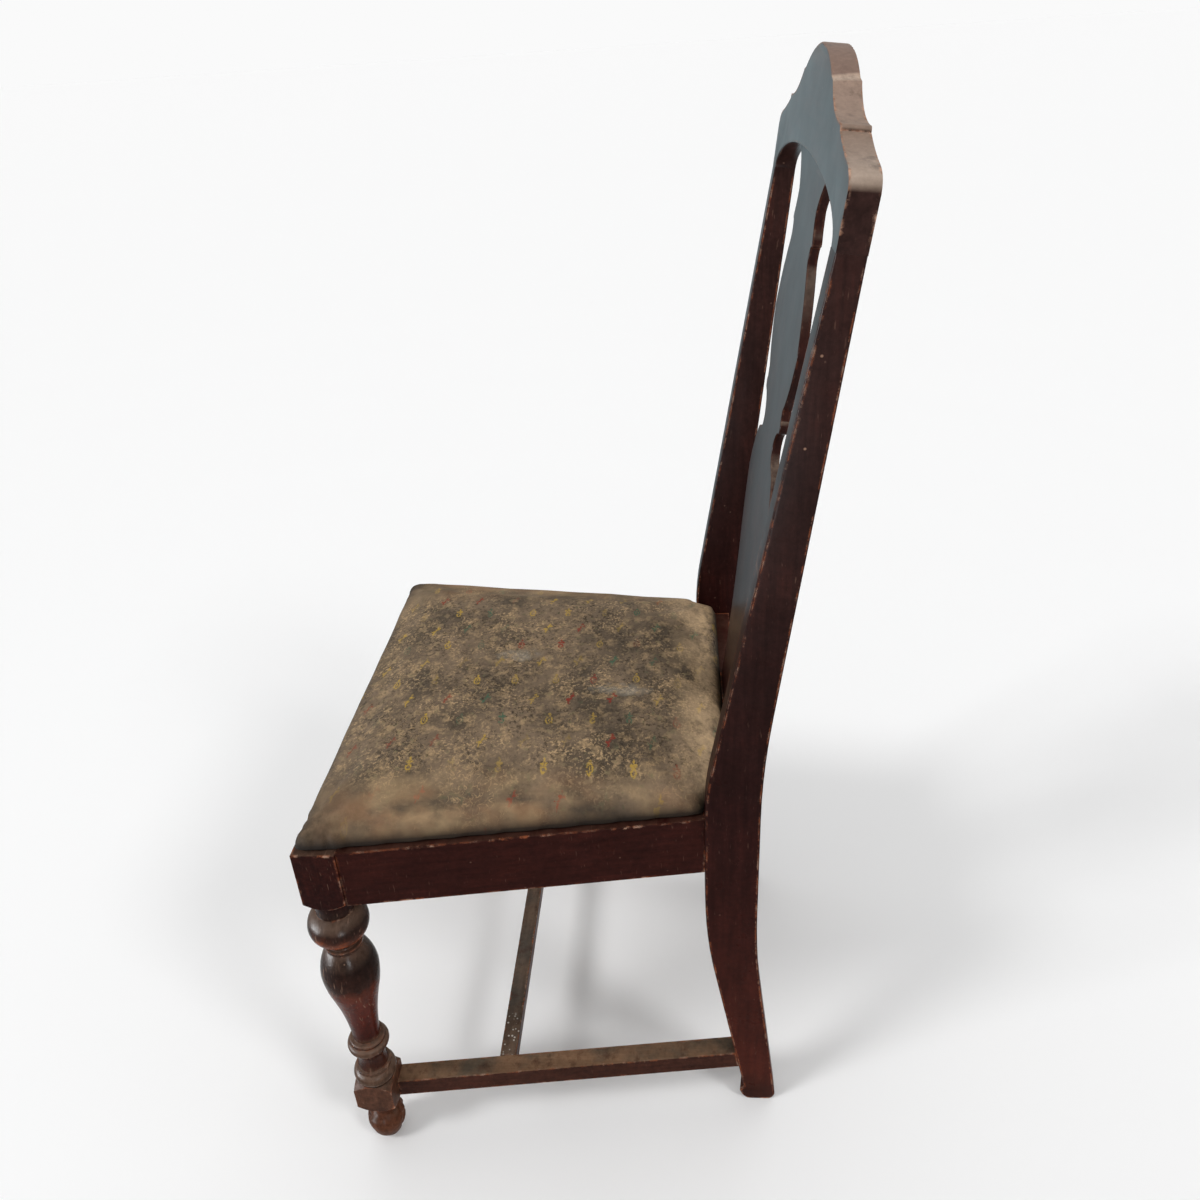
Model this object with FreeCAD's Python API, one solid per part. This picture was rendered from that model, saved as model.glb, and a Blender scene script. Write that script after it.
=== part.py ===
import FreeCAD, Part
import math
import os

os.makedirs("parts", exist_ok=True)
V = FreeCAD.Vector

# Chair, in millimetres. The sitter faces -Y and +X is the sitter's left.
total_height = 1050.0
seat_height = 431.0  # floor to the top of the seat rails
front_width = 478.0  # over the two front leg blocks
rear_width = 388.0  # over the two posts, at the top of the seat rails
seat_depth = 373.2  # front of the leg blocks to the front of the posts

# Rear posts: planks sawn to a raked outline, leaning outwards
post_thickness = 22.0
post_depth = 50.0
post_flare = 3.33  # degrees
back_rake = 9.95  # degrees
back_knee_rise = 31.0  # above the seat rails, where the front edge starts to lean back
rear_knee_rise = 63.0  # the same for the rear edge
leg_front_knee_share = 0.638  # of the seat height, where the leg starts to rake back
leg_rear_knee_share = 0.582
leg_front_rake = 9.4
leg_rear_rake = 6.3
knee_reach = 58.0  # length of each edge that a knee's round takes up
foot_height = 20.0
foot_swell = 2.8  # the foot stands out this far in front of the ankle
foot_round = 12.0
eased_edge = 1.5

# Crest rail: an upright slab, heights measured up the slab from the post tops
crest_thickness = 20.6
crest_height = 115.0
crest_rake = 7.5  # degrees
dome_half_width = 81.5
dome_foot = 94.0
nib_width = 5.5  # little step at the end of a curve
nib_drop = 2.0
hollow_foot = 69.8
hollow_sag = 4.8
end_nib_inset = 71.0  # from the end of the crest to its outer step
end_nib_round = 4.0
end_sag = 1.2
shoulder_height = 52.0
shoulder_inset = 18.5
corner_height = 48.0
corner_inset = 6.5
side_height = 37.0  # where the corner's round meets the end of the crest
arch_rise = 38.0  # underside, from the posts to the middle

# Splat: a vase outline, half widths and shares of the way down from the post tops to the seat
splat_thickness = 8.0
splat_setback = 8.4  # behind the front of the crest
splat_top_half = 93.0
neck_half = 59.5
collar_half = 67.0
bulb_half = 91.5
waist_half = 42.5
vase_half = 96.0
splat_foot_half = 47.0
bulb_share = 0.214
waist_share = 0.3985
vase_share = 0.542
taper_share = 0.711
foot_share = 0.923
tongue = 10.0  # let into the crest and into the rear rail

# Seat rails
rail_thickness = 20.6
rail_height = 64.5
rail_setback = 2.5  # behind the faces of the front leg blocks

# Front legs: heights are from the floor
block_side = 41.0
upper_block = 68.5
lower_block_top = 100.0
lower_block_bottom = 60.0
pommel = 7.0  # length of the turned corner cuts on the blocks
ball_radius = 29.5
vase_radius = 28.8
ring_radius = 21.7
leg_neck_radius = 15.0
foot_radius = 20.4
foot_mid = 26.0  # height of the widest part of the foot

# Stretchers
stretcher_width = 21.0
stretcher_height = 22.0
stretcher_top = 81.5
side_stretcher_front = 208.0  # centre line at the front leg
cross_stretcher_setback = 147.7  # front leg face to the cross stretcher's face
cross_stretcher_width = 18.0
cross_stretcher_height = 16.0

# Joinery
fit_gap = 0.15
dowel_radius = 4.0
dowel_reach = 18.0
dowel_relief = 1.0  # spare depth at the end of each hole
corner_block_height = 30.0
corner_block_leg = 48.0
screw_radius = 2.0
screw_head_radius = 4.0
screw_head = 2.5
screw_seat = 10.0  # wood left under a screw head
screw_bite = 13.0  # depth of a screw in the far piece

# Slip seat
seat_margin = 5.0  # rail edge left showing round the cushion
post_gap = 3.0  # cushion to the front of the posts
seat_rear_reach = 21.0  # cushion behind the front of the posts
cover_thickness = 1.2
cover_tuck = 30.0  # width turned under the seat frame
seat_crown = 34.0
seat_side = 19.0  # height of the cushion's side
side_draw = 3.0  # the side pulls in by this much at its foot
seat_bow = 2.0  # each side of the plan bows in between its corners
seat_corner_radius = 20.0
crown_reach = 82.0  # from the edge to the flat of the crown
soft_gap = 0.3
frame_rail_width = 52.0
frame_thickness = 12.0
webbing_width = 50.0
webbing_thickness = 1.2
burlap_thickness = 0.8
tack_inset = 24.0

# Places that follow from the sizes
flare = math.radians(post_flare)
lean = math.radians(crest_rake)
half_front = front_width / 2
rail_bottom = seat_height - rail_height
post_top = total_height - crest_height * math.cos(lean)
back_knee = seat_height + back_knee_rise
rear_knee = seat_height + rear_knee_rise
leg_front_knee = seat_height * leg_front_knee_share
leg_rear_knee = seat_height * leg_rear_knee_share
joint_y = (post_top - back_knee) * math.tan(math.radians(back_rake))
back_y = joint_y + crest_height * math.sin(lean) + crest_thickness * math.cos(lean)
leg_x = half_front - block_side / 2
leg_y = -seat_depth + block_side / 2
front_y = leg_y - max(ball_radius, block_side / 2)
mid_y = (front_y + back_y) / 2
block_in_x = half_front - block_side
block_rear_y = -seat_depth + block_side


def post_outer(z):
    return rear_width / 2 + (z - seat_height) * math.tan(flare)


def post_inner(z):
    return post_outer(z) - post_thickness / math.cos(flare)


def in_front_view(x, z):
    return V(x, 0, z)


def in_side_view(y, z):
    return V(0, y, z)


def in_plan(x, y):
    return V(x, y, 0)


def outline(place, start, steps):
    # a step of two numbers is a line to a point, of four an arc through a point to a point
    edges = []
    here = place(*start)
    for step in steps:
        there = place(*step[-2:])
        if len(step) == 2:
            edges.append(Part.LineSegment(here, there).toShape())
        else:
            edges.append(Part.Arc(here, place(*step[:2]), there).toShape())
        here = there
    return edges


def both_halves(edges):
    other = [edge.mirror(V(0, 0, 0), V(1, 0, 0)) for edge in edges]
    return Part.Wire(Part.__sortEdges__(edges + other))


def rounded(place, corners):
    # closed wire from (a, b, radius) corners
    points = [V(a, b, 0) for a, b, _ in corners]
    starts, vias, ends = [], [], []
    for i, (_, _, radius) in enumerate(corners):
        back = (points[i - 1] - points[i]).normalize()
        ahead = (points[(i + 1) % len(points)] - points[i]).normalize()
        half = back.getAngle(ahead) / 2
        bisector = (back + ahead).normalize()
        reach = radius / math.tan(half)
        starts.append(points[i] + back * reach)
        ends.append(points[i] + ahead * reach)
        vias.append(points[i] + bisector * (radius / math.sin(half) - radius))
    edges = []
    for i in range(len(points)):
        a, m, b = (place(p.x, p.y) for p in (starts[i], vias[i], ends[i]))
        if corners[i][2] > 0:
            edges.append(Part.Arc(a, m, b).toShape())
        after = starts[(i + 1) % len(points)]
        edges.append(Part.LineSegment(b, place(after.x, after.y)).toShape())
    return Part.Wire(edges)


def prism(wire, along):
    return Part.Face(wire).extrude(along)


def plan_prism(points, bottom, height):
    wire = Part.makePolygon([V(x, y, bottom) for x, y in points + points[:1]])
    return prism(wire, V(0, 0, height))


def rod(start, along, length, radius):
    return Part.makeCylinder(radius, length, start, along)


def other_side(shape):
    return shape.mirror(V(0, 0, 0), V(1, 0, 0))


def lean_back(shape):
    shape = shape.copy()
    shape.rotate(V(0, 0, 0), V(1, 0, 0), -crest_rake)
    shape.translate(V(0, joint_y, post_top))
    return shape


def ease(shape, picks):
    return shape.makeFillet(eased_edge, [edge for edge in shape.Edges if picks(edge)])


def save(name, *shapes):
    group = shapes[0] if len(shapes) == 1 else Part.makeCompound(list(shapes))
    group = group.copy()
    group.translate(V(0, -mid_y, 0))
    group.exportStep("parts/" + name + ".step")


class Dowels:
    # round pins with the holes that take them
    def __init__(self):
        self.pins = []
        self.holes = []

    def add(self, middle, along, radius=dowel_radius, reach=dowel_reach):
        along = V(along).normalize()
        deep = reach + dowel_relief
        self.pins.append(rod(middle - along * reach, along, 2 * reach, radius))
        self.holes.append(rod(middle - along * deep, along, 2 * deep, radius + fit_gap))

    def drill(self, shape):
        return shape.cut(Part.makeCompound(self.holes))


class Screws:
    # pan screws; the head sits in a counterbore that runs out behind it
    def __init__(self):
        self.pins = []
        self.holes = []

    def add(self, face, along, wood=screw_seat, bite=screw_bite, clear=60.0):
        along = V(along).normalize()
        seat = face - along * wood
        shank = rod(seat, along, wood + bite, screw_radius)
        head = rod(seat - along * screw_head, along, screw_head, screw_head_radius)
        self.pins.append(head.fuse(shank).removeSplitter())
        self.holes.append(rod(seat, along, wood + bite + dowel_relief, screw_radius + fit_gap))
        self.holes.append(rod(seat - along * clear, along, clear, screw_head_radius + fit_gap))

    def drill(self, shape):
        return shape.cut(Part.makeCompound(self.holes))


# Rear posts
def along_plank(z):
    return seat_height + (z - seat_height) / math.cos(flare)


def knee_radius(degrees):
    return knee_reach / math.tan(math.radians(degrees) / 2)


top_spare = 25.0
rear_top_y = joint_y + crest_thickness * math.cos(lean)
rear_top_z = post_top - crest_thickness * math.sin(lean)
rear_rake = math.atan2(rear_top_y - post_depth, rear_top_z - rear_knee)
front_slope = math.tan(math.radians(leg_front_rake))
rear_slope = math.tan(math.radians(leg_rear_rake))
ankle_y = (leg_front_knee - foot_height) * front_slope
heel_y = post_depth + leg_rear_knee * rear_slope
toe_y = ankle_y + foot_swell
foot_trim = 2 * post_thickness * math.tan(flare)  # sawn off level with the floor
post_side = rounded(
    in_side_view,
    [(y, along_plank(z), radius) for y, z, radius in (
        (ankle_y, foot_height, foot_swell),
        (ankle_y - foot_swell, foot_height - 2 * foot_swell, 2 * foot_swell),
        (toe_y, -foot_trim, foot_round),
        (heel_y, -foot_trim, foot_round),
        (post_depth, leg_rear_knee, knee_radius(leg_rear_rake)),
        (post_depth, rear_knee, knee_radius(math.degrees(rear_rake))),
        (rear_top_y + top_spare * math.tan(rear_rake), rear_top_z + top_spare, 0),
        (joint_y + top_spare * math.tan(math.radians(back_rake)), post_top + top_spare, 0),
        (0, back_knee, knee_radius(back_rake) / 2),
        (0, leg_front_knee, knee_radius(leg_front_rake)),
    )],
)


def stand_post(plank, outer):
    plank.translate(V(outer, 0, 0))
    plank.rotate(V(rear_width / 2, 0, seat_height), V(0, 1, 0), post_flare)
    return plank


post = prism(post_side, V(-post_thickness, 0, 0))
post = stand_post(ease(post, lambda edge: edge.BoundBox.XLength < 0.01), rear_width / 2)
waste = 2 * total_height
above = lean_back(Part.makeBox(waste, waste, waste, V(-waste / 2, -waste / 2, 0)))
below = Part.makeBox(waste, waste, waste, V(-waste / 2, -waste / 2, -waste))
left_post = post.cut(above).cut(below)

# Crest rail
crest_end = post_outer(post_top)
crest_inner = post_inner(post_top)
nib_x = crest_end - end_nib_inset
hollow_start = dome_half_width + nib_width + nib_drop
hollow_top = dome_foot - 1 - nib_drop
hollow_mid = (hollow_start + nib_x - nib_width) / 2
end_start = nib_x + end_nib_round
end_foot = hollow_foot - end_nib_round
shoulder_x = crest_end - shoulder_inset
corner_x = crest_end - corner_inset
side_x = post_outer(post_top + side_height * math.cos(lean))
dome_mid = dome_half_width / 2
dome_sag = (crest_height - dome_foot) / 4
crest_half = outline(in_front_view, (0, crest_height), [
    (dome_mid, crest_height - dome_sag, dome_half_width, dome_foot),
    (dome_half_width + nib_width, dome_foot - 1),
    (hollow_start, hollow_top),
    (hollow_mid, (hollow_top + hollow_foot) / 2 - hollow_sag, nib_x - nib_width, hollow_foot),
    (nib_x, hollow_foot),
    (nib_x + 0.7 * end_nib_round, hollow_foot - 0.3 * end_nib_round, end_start, end_foot),
    ((end_start + shoulder_x) / 2, (end_foot + shoulder_height) / 2 - end_sag, shoulder_x, shoulder_height),
    ((shoulder_x + corner_x) / 2 + 0.2, (shoulder_height + corner_height) / 2 + 0.4, corner_x, corner_height),
    ((corner_x + side_x) / 2 + 1.3, (corner_height + side_height) / 2 + 1.0, side_x, side_height),
    (crest_end, 0),
    (crest_inner, 0),
])
arch = Part.Ellipse(V(crest_inner, 0, 0), V(0, 0, arch_rise), V(0, 0, 0))
arch_half = Part.Arc(arch, 0, math.pi / 2).toShape()
crest = prism(both_halves(crest_half + [arch_half]), V(0, crest_thickness, 0))
crest = ease(crest, lambda edge: edge.BoundBox.YLength < 0.01 and edge.Length > dome_half_width)

# Splat, in the same upright plane
splat_foot = (seat_height - post_top) / math.cos(lean)
bulb_height = bulb_share * splat_foot
waist_height = waist_share * splat_foot
vase_height = vase_share * splat_foot
taper_height = taper_share * splat_foot
foot_start = foot_share * splat_foot
tongue_top = arch_rise + tongue
splat_half = outline(in_front_view, (0, tongue_top), [
    (splat_top_half, tongue_top),
    (splat_top_half, 31.0),
    (neck_half + 8.0, 11.0, neck_half, 0.0),
    (neck_half + 2.0, -10.0, collar_half, -22.0),
    (collar_half, -25.5),
    (collar_half - 4.0, -27.0),
    (neck_half + 0.8, -34.0, collar_half - 4.0, -44.0),
    (0.5 * (collar_half + bulb_half) + 1.0, -74.0, bulb_half, bulb_height),
    (bulb_half - 10.0, bulb_height - 29.0, collar_half - 3.0, bulb_height - 53.0),
    (collar_half - 3.5, bulb_height - 62.0),
    (collar_half - 0.5, bulb_height - 68.0, collar_half - 4.0, bulb_height - 74.0),
    (waist_half + 7.0, waist_height + 13.0, waist_half, waist_height),
    (waist_half + 3.0, waist_height - 10.0, waist_half + 11.0, waist_height - 16.0),
    (waist_half + 24.0, waist_height - 20.0),
    (vase_half - 8.0, vase_height + 24.0, vase_half, vase_height),
    (vase_half - 9.0, vase_height - 42.0, vase_half - 26.0, taper_height),
    (splat_foot_half + 8.0, (taper_height + foot_start) / 2, splat_foot_half, foot_start),
    (splat_foot_half, splat_foot - tongue),
    (0, splat_foot - tongue),
])
splat = prism(both_halves(splat_half), V(0, splat_thickness, 0))
splat.translate(V(0, splat_setback, 0))


def slot(half_width, bottom, top):
    low = V(-half_width - fit_gap, splat_setback - fit_gap, bottom)
    size = V(2 * (half_width + fit_gap), splat_thickness + 2 * fit_gap, top - bottom)
    return Part.makeBox(size.x, size.y, size.z, low)


crest = crest.cut(slot(splat_top_half, -1.0, tongue_top + fit_gap))
crest = lean_back(crest)
splat = lean_back(splat)

# Seat rails
splat_mid = splat_setback + splat_thickness / 2
rear_rail_mid = joint_y + splat_foot * math.sin(lean) + splat_mid * math.cos(lean)
rear_rail_front = rear_rail_mid - rail_thickness / 2
rear_rail = prism(
    Part.makePolygon([V(x, rear_rail_front, z) for x, z in (
        (-post_inner(rail_bottom), rail_bottom),
        (post_inner(rail_bottom), rail_bottom),
        (post_inner(seat_height), seat_height),
        (-post_inner(seat_height), seat_height),
        (-post_inner(rail_bottom), rail_bottom),
    )]),
    V(0, rail_thickness, 0),
)
foot_slot = slot(splat_foot_half, splat_foot - tongue - fit_gap, splat_foot + tongue)
rear_rail = rear_rail.cut(lean_back(foot_slot))
front_rail_y = -seat_depth + rail_setback
front_rail_in = front_rail_y + rail_thickness
front_rail_corner = V(-block_in_x, front_rail_y, rail_bottom)
front_rail = Part.makeBox(2 * block_in_x, rail_thickness, rail_height, front_rail_corner)

side_front_out = half_front - rail_setback
side_rear_in = post_inner(rail_bottom)
side_run = math.atan2(side_front_out - rail_thickness - side_rear_in, -block_rear_y)
side_width = rail_thickness / math.cos(side_run)


def side_inner(y):
    return side_rear_in - y * math.tan(side_run)


def side_outer(y):
    return side_inner(y) + side_width


left_rail = plan_prism(
    [(side_inner(0), 0), (side_outer(0), 0), (side_outer(block_rear_y), block_rear_y),
     (side_inner(block_rear_y), block_rear_y)],
    rail_bottom, rail_height)

# Front legs
block_bottom = seat_height - upper_block
corner = block_side / math.sqrt(2)
ball_mid = block_bottom - 34.5
vase_mid = ball_mid - 64.0
ring_mid = ball_mid - 175.5
neck_mid = (ring_mid + lower_block_top + 11.5) / 2


def turned(start, steps):
    edges = outline(lambda r, z: V(r, 0, z), start, steps)
    return Part.Face(Part.Wire(edges)).revolve(V(0, 0, 0), V(0, 0, 1), 360)


turning = turned((0, block_bottom), [
    (18.5, block_bottom),
    (18.5, ball_mid + 18.0),
    (ball_radius, ball_mid, 16.5, ball_mid - 19.0),
    (15.0, ball_mid - 22.5, 16.0, ball_mid - 25.5),
    (18.8, ball_mid - 26.5),
    (18.8, ball_mid - 30.0),
    (17.6, ball_mid - 31.5),
    (vase_radius - 3.2, vase_mid + 16.5, vase_radius, vase_mid),
    (vase_radius - 1.4, vase_mid - 16.0, vase_radius - 4.6, vase_mid - 31.0),
    (vase_radius - 7.8, vase_mid - 44.5),
    (16.9, vase_mid - 67.0, 14.0, ring_mid + 10.5),
    (16.4, ring_mid + 9.5),
    (18.4, ring_mid + 7.3, 16.8, ring_mid + 5.0),
    (ring_radius, ring_mid - 0.8, 17.0, ring_mid - 6.5),
    (17.0, ring_mid - 8.5),
    (leg_neck_radius - 0.8, neck_mid, leg_neck_radius + 1.0, lower_block_top + 20.0),
    (18.4, lower_block_top + 19.0),
    (18.4, lower_block_top + 15.0),
    (leg_neck_radius + 7.4, lower_block_top + 8.0, 19.5, lower_block_top),
    (0, lower_block_top),
    (0, block_bottom),
])
ball_foot = turned((0, lower_block_bottom), [
    (14.5, lower_block_bottom),
    (12.2, lower_block_bottom - 9.0, 13.4, foot_mid + 16.0),
    (foot_radius - 1.4, foot_mid + 8.5, foot_radius, foot_mid),
    (foot_radius - 2.4, foot_mid - 11.0, 9.5, 0),
    (0, 0),
    (0, lower_block_bottom),
])


def pommel_block(bottom, top, cut_top):
    half = block_side / 2
    box = Part.makeBox(block_side, block_side, top - bottom, V(-half, -half, bottom))
    round_cut = [(corner, bottom + pommel), (corner, top)]
    if cut_top:
        round_cut = [(corner, bottom + pommel), (corner, top - pommel), (half, top)]
    limit = turned((0, bottom), [(half, bottom)] + round_cut + [(0, top), (0, bottom)])
    return box.common(limit)


leg = turning.fuse(pommel_block(block_bottom, seat_height, False))
leg = leg.fuse(pommel_block(lower_block_bottom, lower_block_top, True)).fuse(ball_foot).removeSplitter()
leg.translate(V(leg_x, leg_y, 0))

# Stretchers
stretcher_bottom = stretcher_top - stretcher_height
stretcher_mid = stretcher_top - stretcher_height / 2
side_stretcher_rear = (post_outer(stretcher_mid) + post_inner(stretcher_mid)) / 2
stretcher_rear_y = (leg_front_knee - stretcher_mid) * front_slope
stretcher_run = math.atan2(side_stretcher_front - side_stretcher_rear, stretcher_rear_y - block_rear_y)
stretcher_half = stretcher_width / 2 / math.cos(stretcher_run)


def stretcher_x(y):
    return side_stretcher_rear + (stretcher_rear_y - y) * math.tan(stretcher_run)


into_leg = stretcher_rear_y + stretcher_width
left_stretcher = plan_prism(
    [(stretcher_x(block_rear_y) - stretcher_half, block_rear_y),
     (stretcher_x(block_rear_y) + stretcher_half, block_rear_y),
     (stretcher_x(into_leg) + stretcher_half, into_leg),
     (stretcher_x(into_leg) - stretcher_half, into_leg)],
    stretcher_bottom, stretcher_height)
wide_post = prism(post_side, V(-3 * post_thickness, 0, 0))
left_stretcher = left_stretcher.cut(stand_post(wide_post, rear_width / 2 + post_thickness))
cross_y = -seat_depth + cross_stretcher_setback
cross_rear = cross_y + cross_stretcher_width
cross_ends = [stretcher_x(y) - stretcher_half for y in (cross_y, cross_rear)]
cross_stretcher = plan_prism(
    [(-cross_ends[0], cross_y), (cross_ends[0], cross_y), (cross_ends[1], cross_rear),
     (-cross_ends[1], cross_rear)],
    stretcher_top - cross_stretcher_height, cross_stretcher_height)

# Corner blocks of the seat frame
block_low = seat_height - corner_block_height
front_block_y = front_rail_in + corner_block_leg + block_side - rail_thickness
behind_leg = block_rear_y + soft_gap
left_front_block = plan_prism(
    [(block_in_x - corner_block_leg, front_rail_in), (block_in_x - soft_gap, front_rail_in),
     (block_in_x - soft_gap, behind_leg), (side_inner(behind_leg), behind_leg),
     (side_inner(front_block_y), front_block_y)],
    block_low, corner_block_height)
left_rear_block = plan_prism(
    [(side_rear_in - corner_block_leg, rear_rail_front), (side_rear_in, rear_rail_front), (side_rear_in, 0),
     (side_inner(-corner_block_leg), -corner_block_leg)],
    block_low, corner_block_height)

# Dowels
rail_levels = [rail_bottom + rail_height * share for share in (0.27, 0.73)]
crest_dowels = Dowels()
front_rail_dowels = Dowels()
side_rail_dowels = Dowels()
rear_rail_dowels = Dowels()
stretcher_dowels = Dowels()
for side in (1, -1):
    dowel_x = side * (crest_end + crest_inner) / 2
    up_slab = V(0, math.sin(lean), math.cos(lean))
    slab_middle = V(0, math.cos(lean), -math.sin(lean)) * (crest_thickness / 2)
    crest_dowels.add(V(dowel_x, joint_y, post_top) + slab_middle, up_slab)
    for level in rail_levels:
        front_rail_dowels.add(V(side * block_in_x, front_rail_y + rail_thickness / 2, level), V(1, 0, 0))
        for y in (0, block_rear_y):
            side_rail_dowels.add(V(side * (side_inner(y) + side_width / 2), y, level), V(0, 1, 0))
        rear_rail_dowels.add(V(side * post_inner(level), rear_rail_mid, level), V(1, 0, 0))
    stretcher_dowels.add(V(side * stretcher_x(block_rear_y), block_rear_y, stretcher_mid), V(0, 1, 0))
    stretcher_dowels.add(V(side * side_stretcher_rear, stretcher_rear_y, stretcher_mid), V(0, 1, 0))
    cross_mid = (cross_y + cross_rear) / 2
    cross_level = stretcher_top - cross_stretcher_height / 2
    cross_end = V(side * (stretcher_x(cross_mid) - stretcher_half), cross_mid, cross_level)
    stretcher_dowels.add(cross_end, V(1, 0, 0), reach=stretcher_width / 2)

# Slip seat: plan outline drawn in by an inset, notched round the posts
seat_bottom = seat_height


def seat_corners(inset):
    front = -seat_depth + seat_margin + inset
    run_in = (seat_margin + inset) / math.cos(side_run)
    notch_y = -post_gap - inset
    notch_x = post_inner(seat_height) - post_gap - inset
    rear = seat_rear_reach - inset
    return front, run_in, notch_y, notch_x, rear


def seat_wire(inset, z, radius, draw):
    front, run_in, notch_y, notch_x, rear = seat_corners(inset)
    front_x = side_outer(front) - run_in
    side_x = side_outer(notch_y) - run_in
    slope = (side_x - front_x) / (notch_y - front)
    side_mid = (front + notch_y) / 2
    half = outline(lambda x, y: V(x, y, z), (0, front + draw), [
        ((front_x - radius) / 2, front + 0.75 * draw, front_x - radius, front),
        (front_x - 0.3 * radius, front + 0.3 * radius, front_x + slope * radius, front + radius),
        (front_x + slope * (side_mid - front) - draw, side_mid, side_x, notch_y),
        (notch_x, notch_y),
        (notch_x, rear),
        (0, rear),
    ])
    return both_halves(half)


def cushion(shrink, bottom):
    # the side swells out above its drawn-in foot, then rolls over into the crown
    levels = [(side_draw, bottom), (0.4 * side_draw, seat_bottom + 0.25 * seat_side)]
    steps = 8
    for i in range(steps + 1):
        turn = math.pi / 2 * i / steps
        inset = crown_reach * (1 - math.cos(turn) ** 2)
        rise = (seat_crown - shrink - 0.55 * seat_side) * math.sin(turn) ** 0.9
        levels.append((inset, seat_bottom + 0.55 * seat_side + rise))
    sections = [seat_wire(inset + shrink, z, seat_corner_radius, seat_bow) for inset, z in levels]
    return Part.makeLoft(sections, True, True)


frame_bottom = seat_bottom + cover_thickness
frame_top = frame_bottom + frame_thickness
web_low = frame_top
web_high = web_low + webbing_thickness
burlap_bottom = web_high + webbing_thickness
padding_bottom = burlap_bottom + burlap_thickness
cover = cushion(0.0, seat_bottom)
cover = cover.cut(cushion(cover_thickness, frame_bottom))
tuck_inset = side_draw + cover_tuck
front, run_in, notch_y, notch_x, rear = seat_corners(tuck_inset)
tuck_half = outline(in_plan, (0, front), [
    (side_outer(front) - run_in, front),
    (side_outer(notch_y) - run_in, notch_y),
    (notch_x, notch_y),
    (notch_x, rear),
    (0, rear),
])
tuck_opening = prism(both_halves(tuck_half), V(0, 0, 2 * cover_thickness))
tuck_opening.translate(V(0, 0, seat_bottom - cover_thickness / 2))
cover = cover.cut(tuck_opening)
inside = cover_thickness + soft_gap
padding = cushion(inside, frame_bottom)
padding = padding.cut(Part.makeBox(waste, waste, padding_bottom, V(-waste / 2, -waste / 2, 0)))

frame_inset = side_draw + seat_bow + cover_thickness + soft_gap
front, run_in, notch_y, notch_x, rear = seat_corners(frame_inset)
frame_front_in = front + frame_rail_width
frame_rear_in = rear - frame_rail_width


def frame_side(y):
    return side_outer(y) - run_in


frame_front = prism(
    rounded(in_plan, [
        (-frame_side(front), front, seat_corner_radius),
        (frame_side(front), front, seat_corner_radius),
        (frame_side(frame_front_in), frame_front_in, 0),
        (-frame_side(frame_front_in), frame_front_in, 0),
    ]),
    V(0, 0, frame_thickness))
frame_front.translate(V(0, 0, frame_bottom))
frame_rear = plan_prism(
    [(-frame_side(frame_rear_in), frame_rear_in), (frame_side(frame_rear_in), frame_rear_in),
     (frame_side(notch_y), notch_y), (notch_x, notch_y), (notch_x, rear), (-notch_x, rear),
     (-notch_x, notch_y), (-frame_side(notch_y), notch_y)],
    frame_bottom, frame_thickness)
frame_left = plan_prism(
    [(frame_side(frame_front_in) - frame_rail_width, frame_front_in),
     (frame_side(frame_front_in), frame_front_in), (frame_side(frame_rear_in), frame_rear_in),
     (frame_side(frame_rear_in) - frame_rail_width, frame_rear_in)],
    frame_bottom, frame_thickness)

frame_dowels = Dowels()
frame_mid = (frame_bottom + frame_top) / 2
for side in (1, -1):
    for joint in (frame_front_in, frame_rear_in):
        for share in (0.3, 0.7):
            x = frame_side(joint) - share * frame_rail_width
            frame_dowels.add(V(side * x, joint, frame_mid), V(0, 1, 0), radius=0.75 * dowel_radius)

# Webbing, burlap and tacks
web_reach = frame_rail_width - webbing_width / 4
web_x = frame_side(frame_rear_in) - frame_rail_width
web_length = frame_rear_in - frame_front_in + 2 * web_reach
lengthwise = []
for share in (-0.75, -0.25, 0.25, 0.75):
    low = V(share * web_x - webbing_width / 2, frame_front_in - web_reach, web_low)
    lengthwise.append(Part.makeBox(webbing_width, web_length, webbing_thickness, low))
crosswise = []
for share in (0.14, 0.38, 0.62, 0.86):
    y = frame_front_in + share * (frame_rear_in - frame_front_in)
    half = frame_side(y) - frame_rail_width + web_reach - webbing_width / 2 * math.tan(side_run)
    low = V(-half, y - webbing_width / 2, web_high)
    crosswise.append(Part.makeBox(2 * half, webbing_width, webbing_thickness, low))
burlap_edge = frame_rail_width / 4
burlap_front = frame_side(front) - burlap_edge
burlap_rear = frame_side(notch_y) - 1.5 * burlap_edge
burlap = plan_prism(
    [(-burlap_front, front + burlap_edge), (burlap_front, front + burlap_edge),
     (burlap_rear, notch_y - burlap_edge), (-burlap_rear, notch_y - burlap_edge)],
    burlap_bottom, burlap_thickness)

tack_spots = [(share * web_x, front + tack_inset) for share in (-0.66, -0.22, 0.22, 0.66)]
tack_spots += [(share * web_x, rear - tack_inset) for share in (-0.5, 0.0, 0.5)]
for share in (0.2, 0.5, 0.8):
    y = frame_front_in + share * (frame_rear_in - frame_front_in)
    tack_spots += [(side * (frame_side(y) - tack_inset), y) for side in (1, -1)]
tacks = Screws()
tack_bite = 0.6 * frame_thickness
for x, y in tack_spots:
    tacks.add(V(x, y, frame_bottom), V(0, 0, 1), wood=cover_thickness, bite=tack_bite, clear=2 * screw_head)

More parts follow.
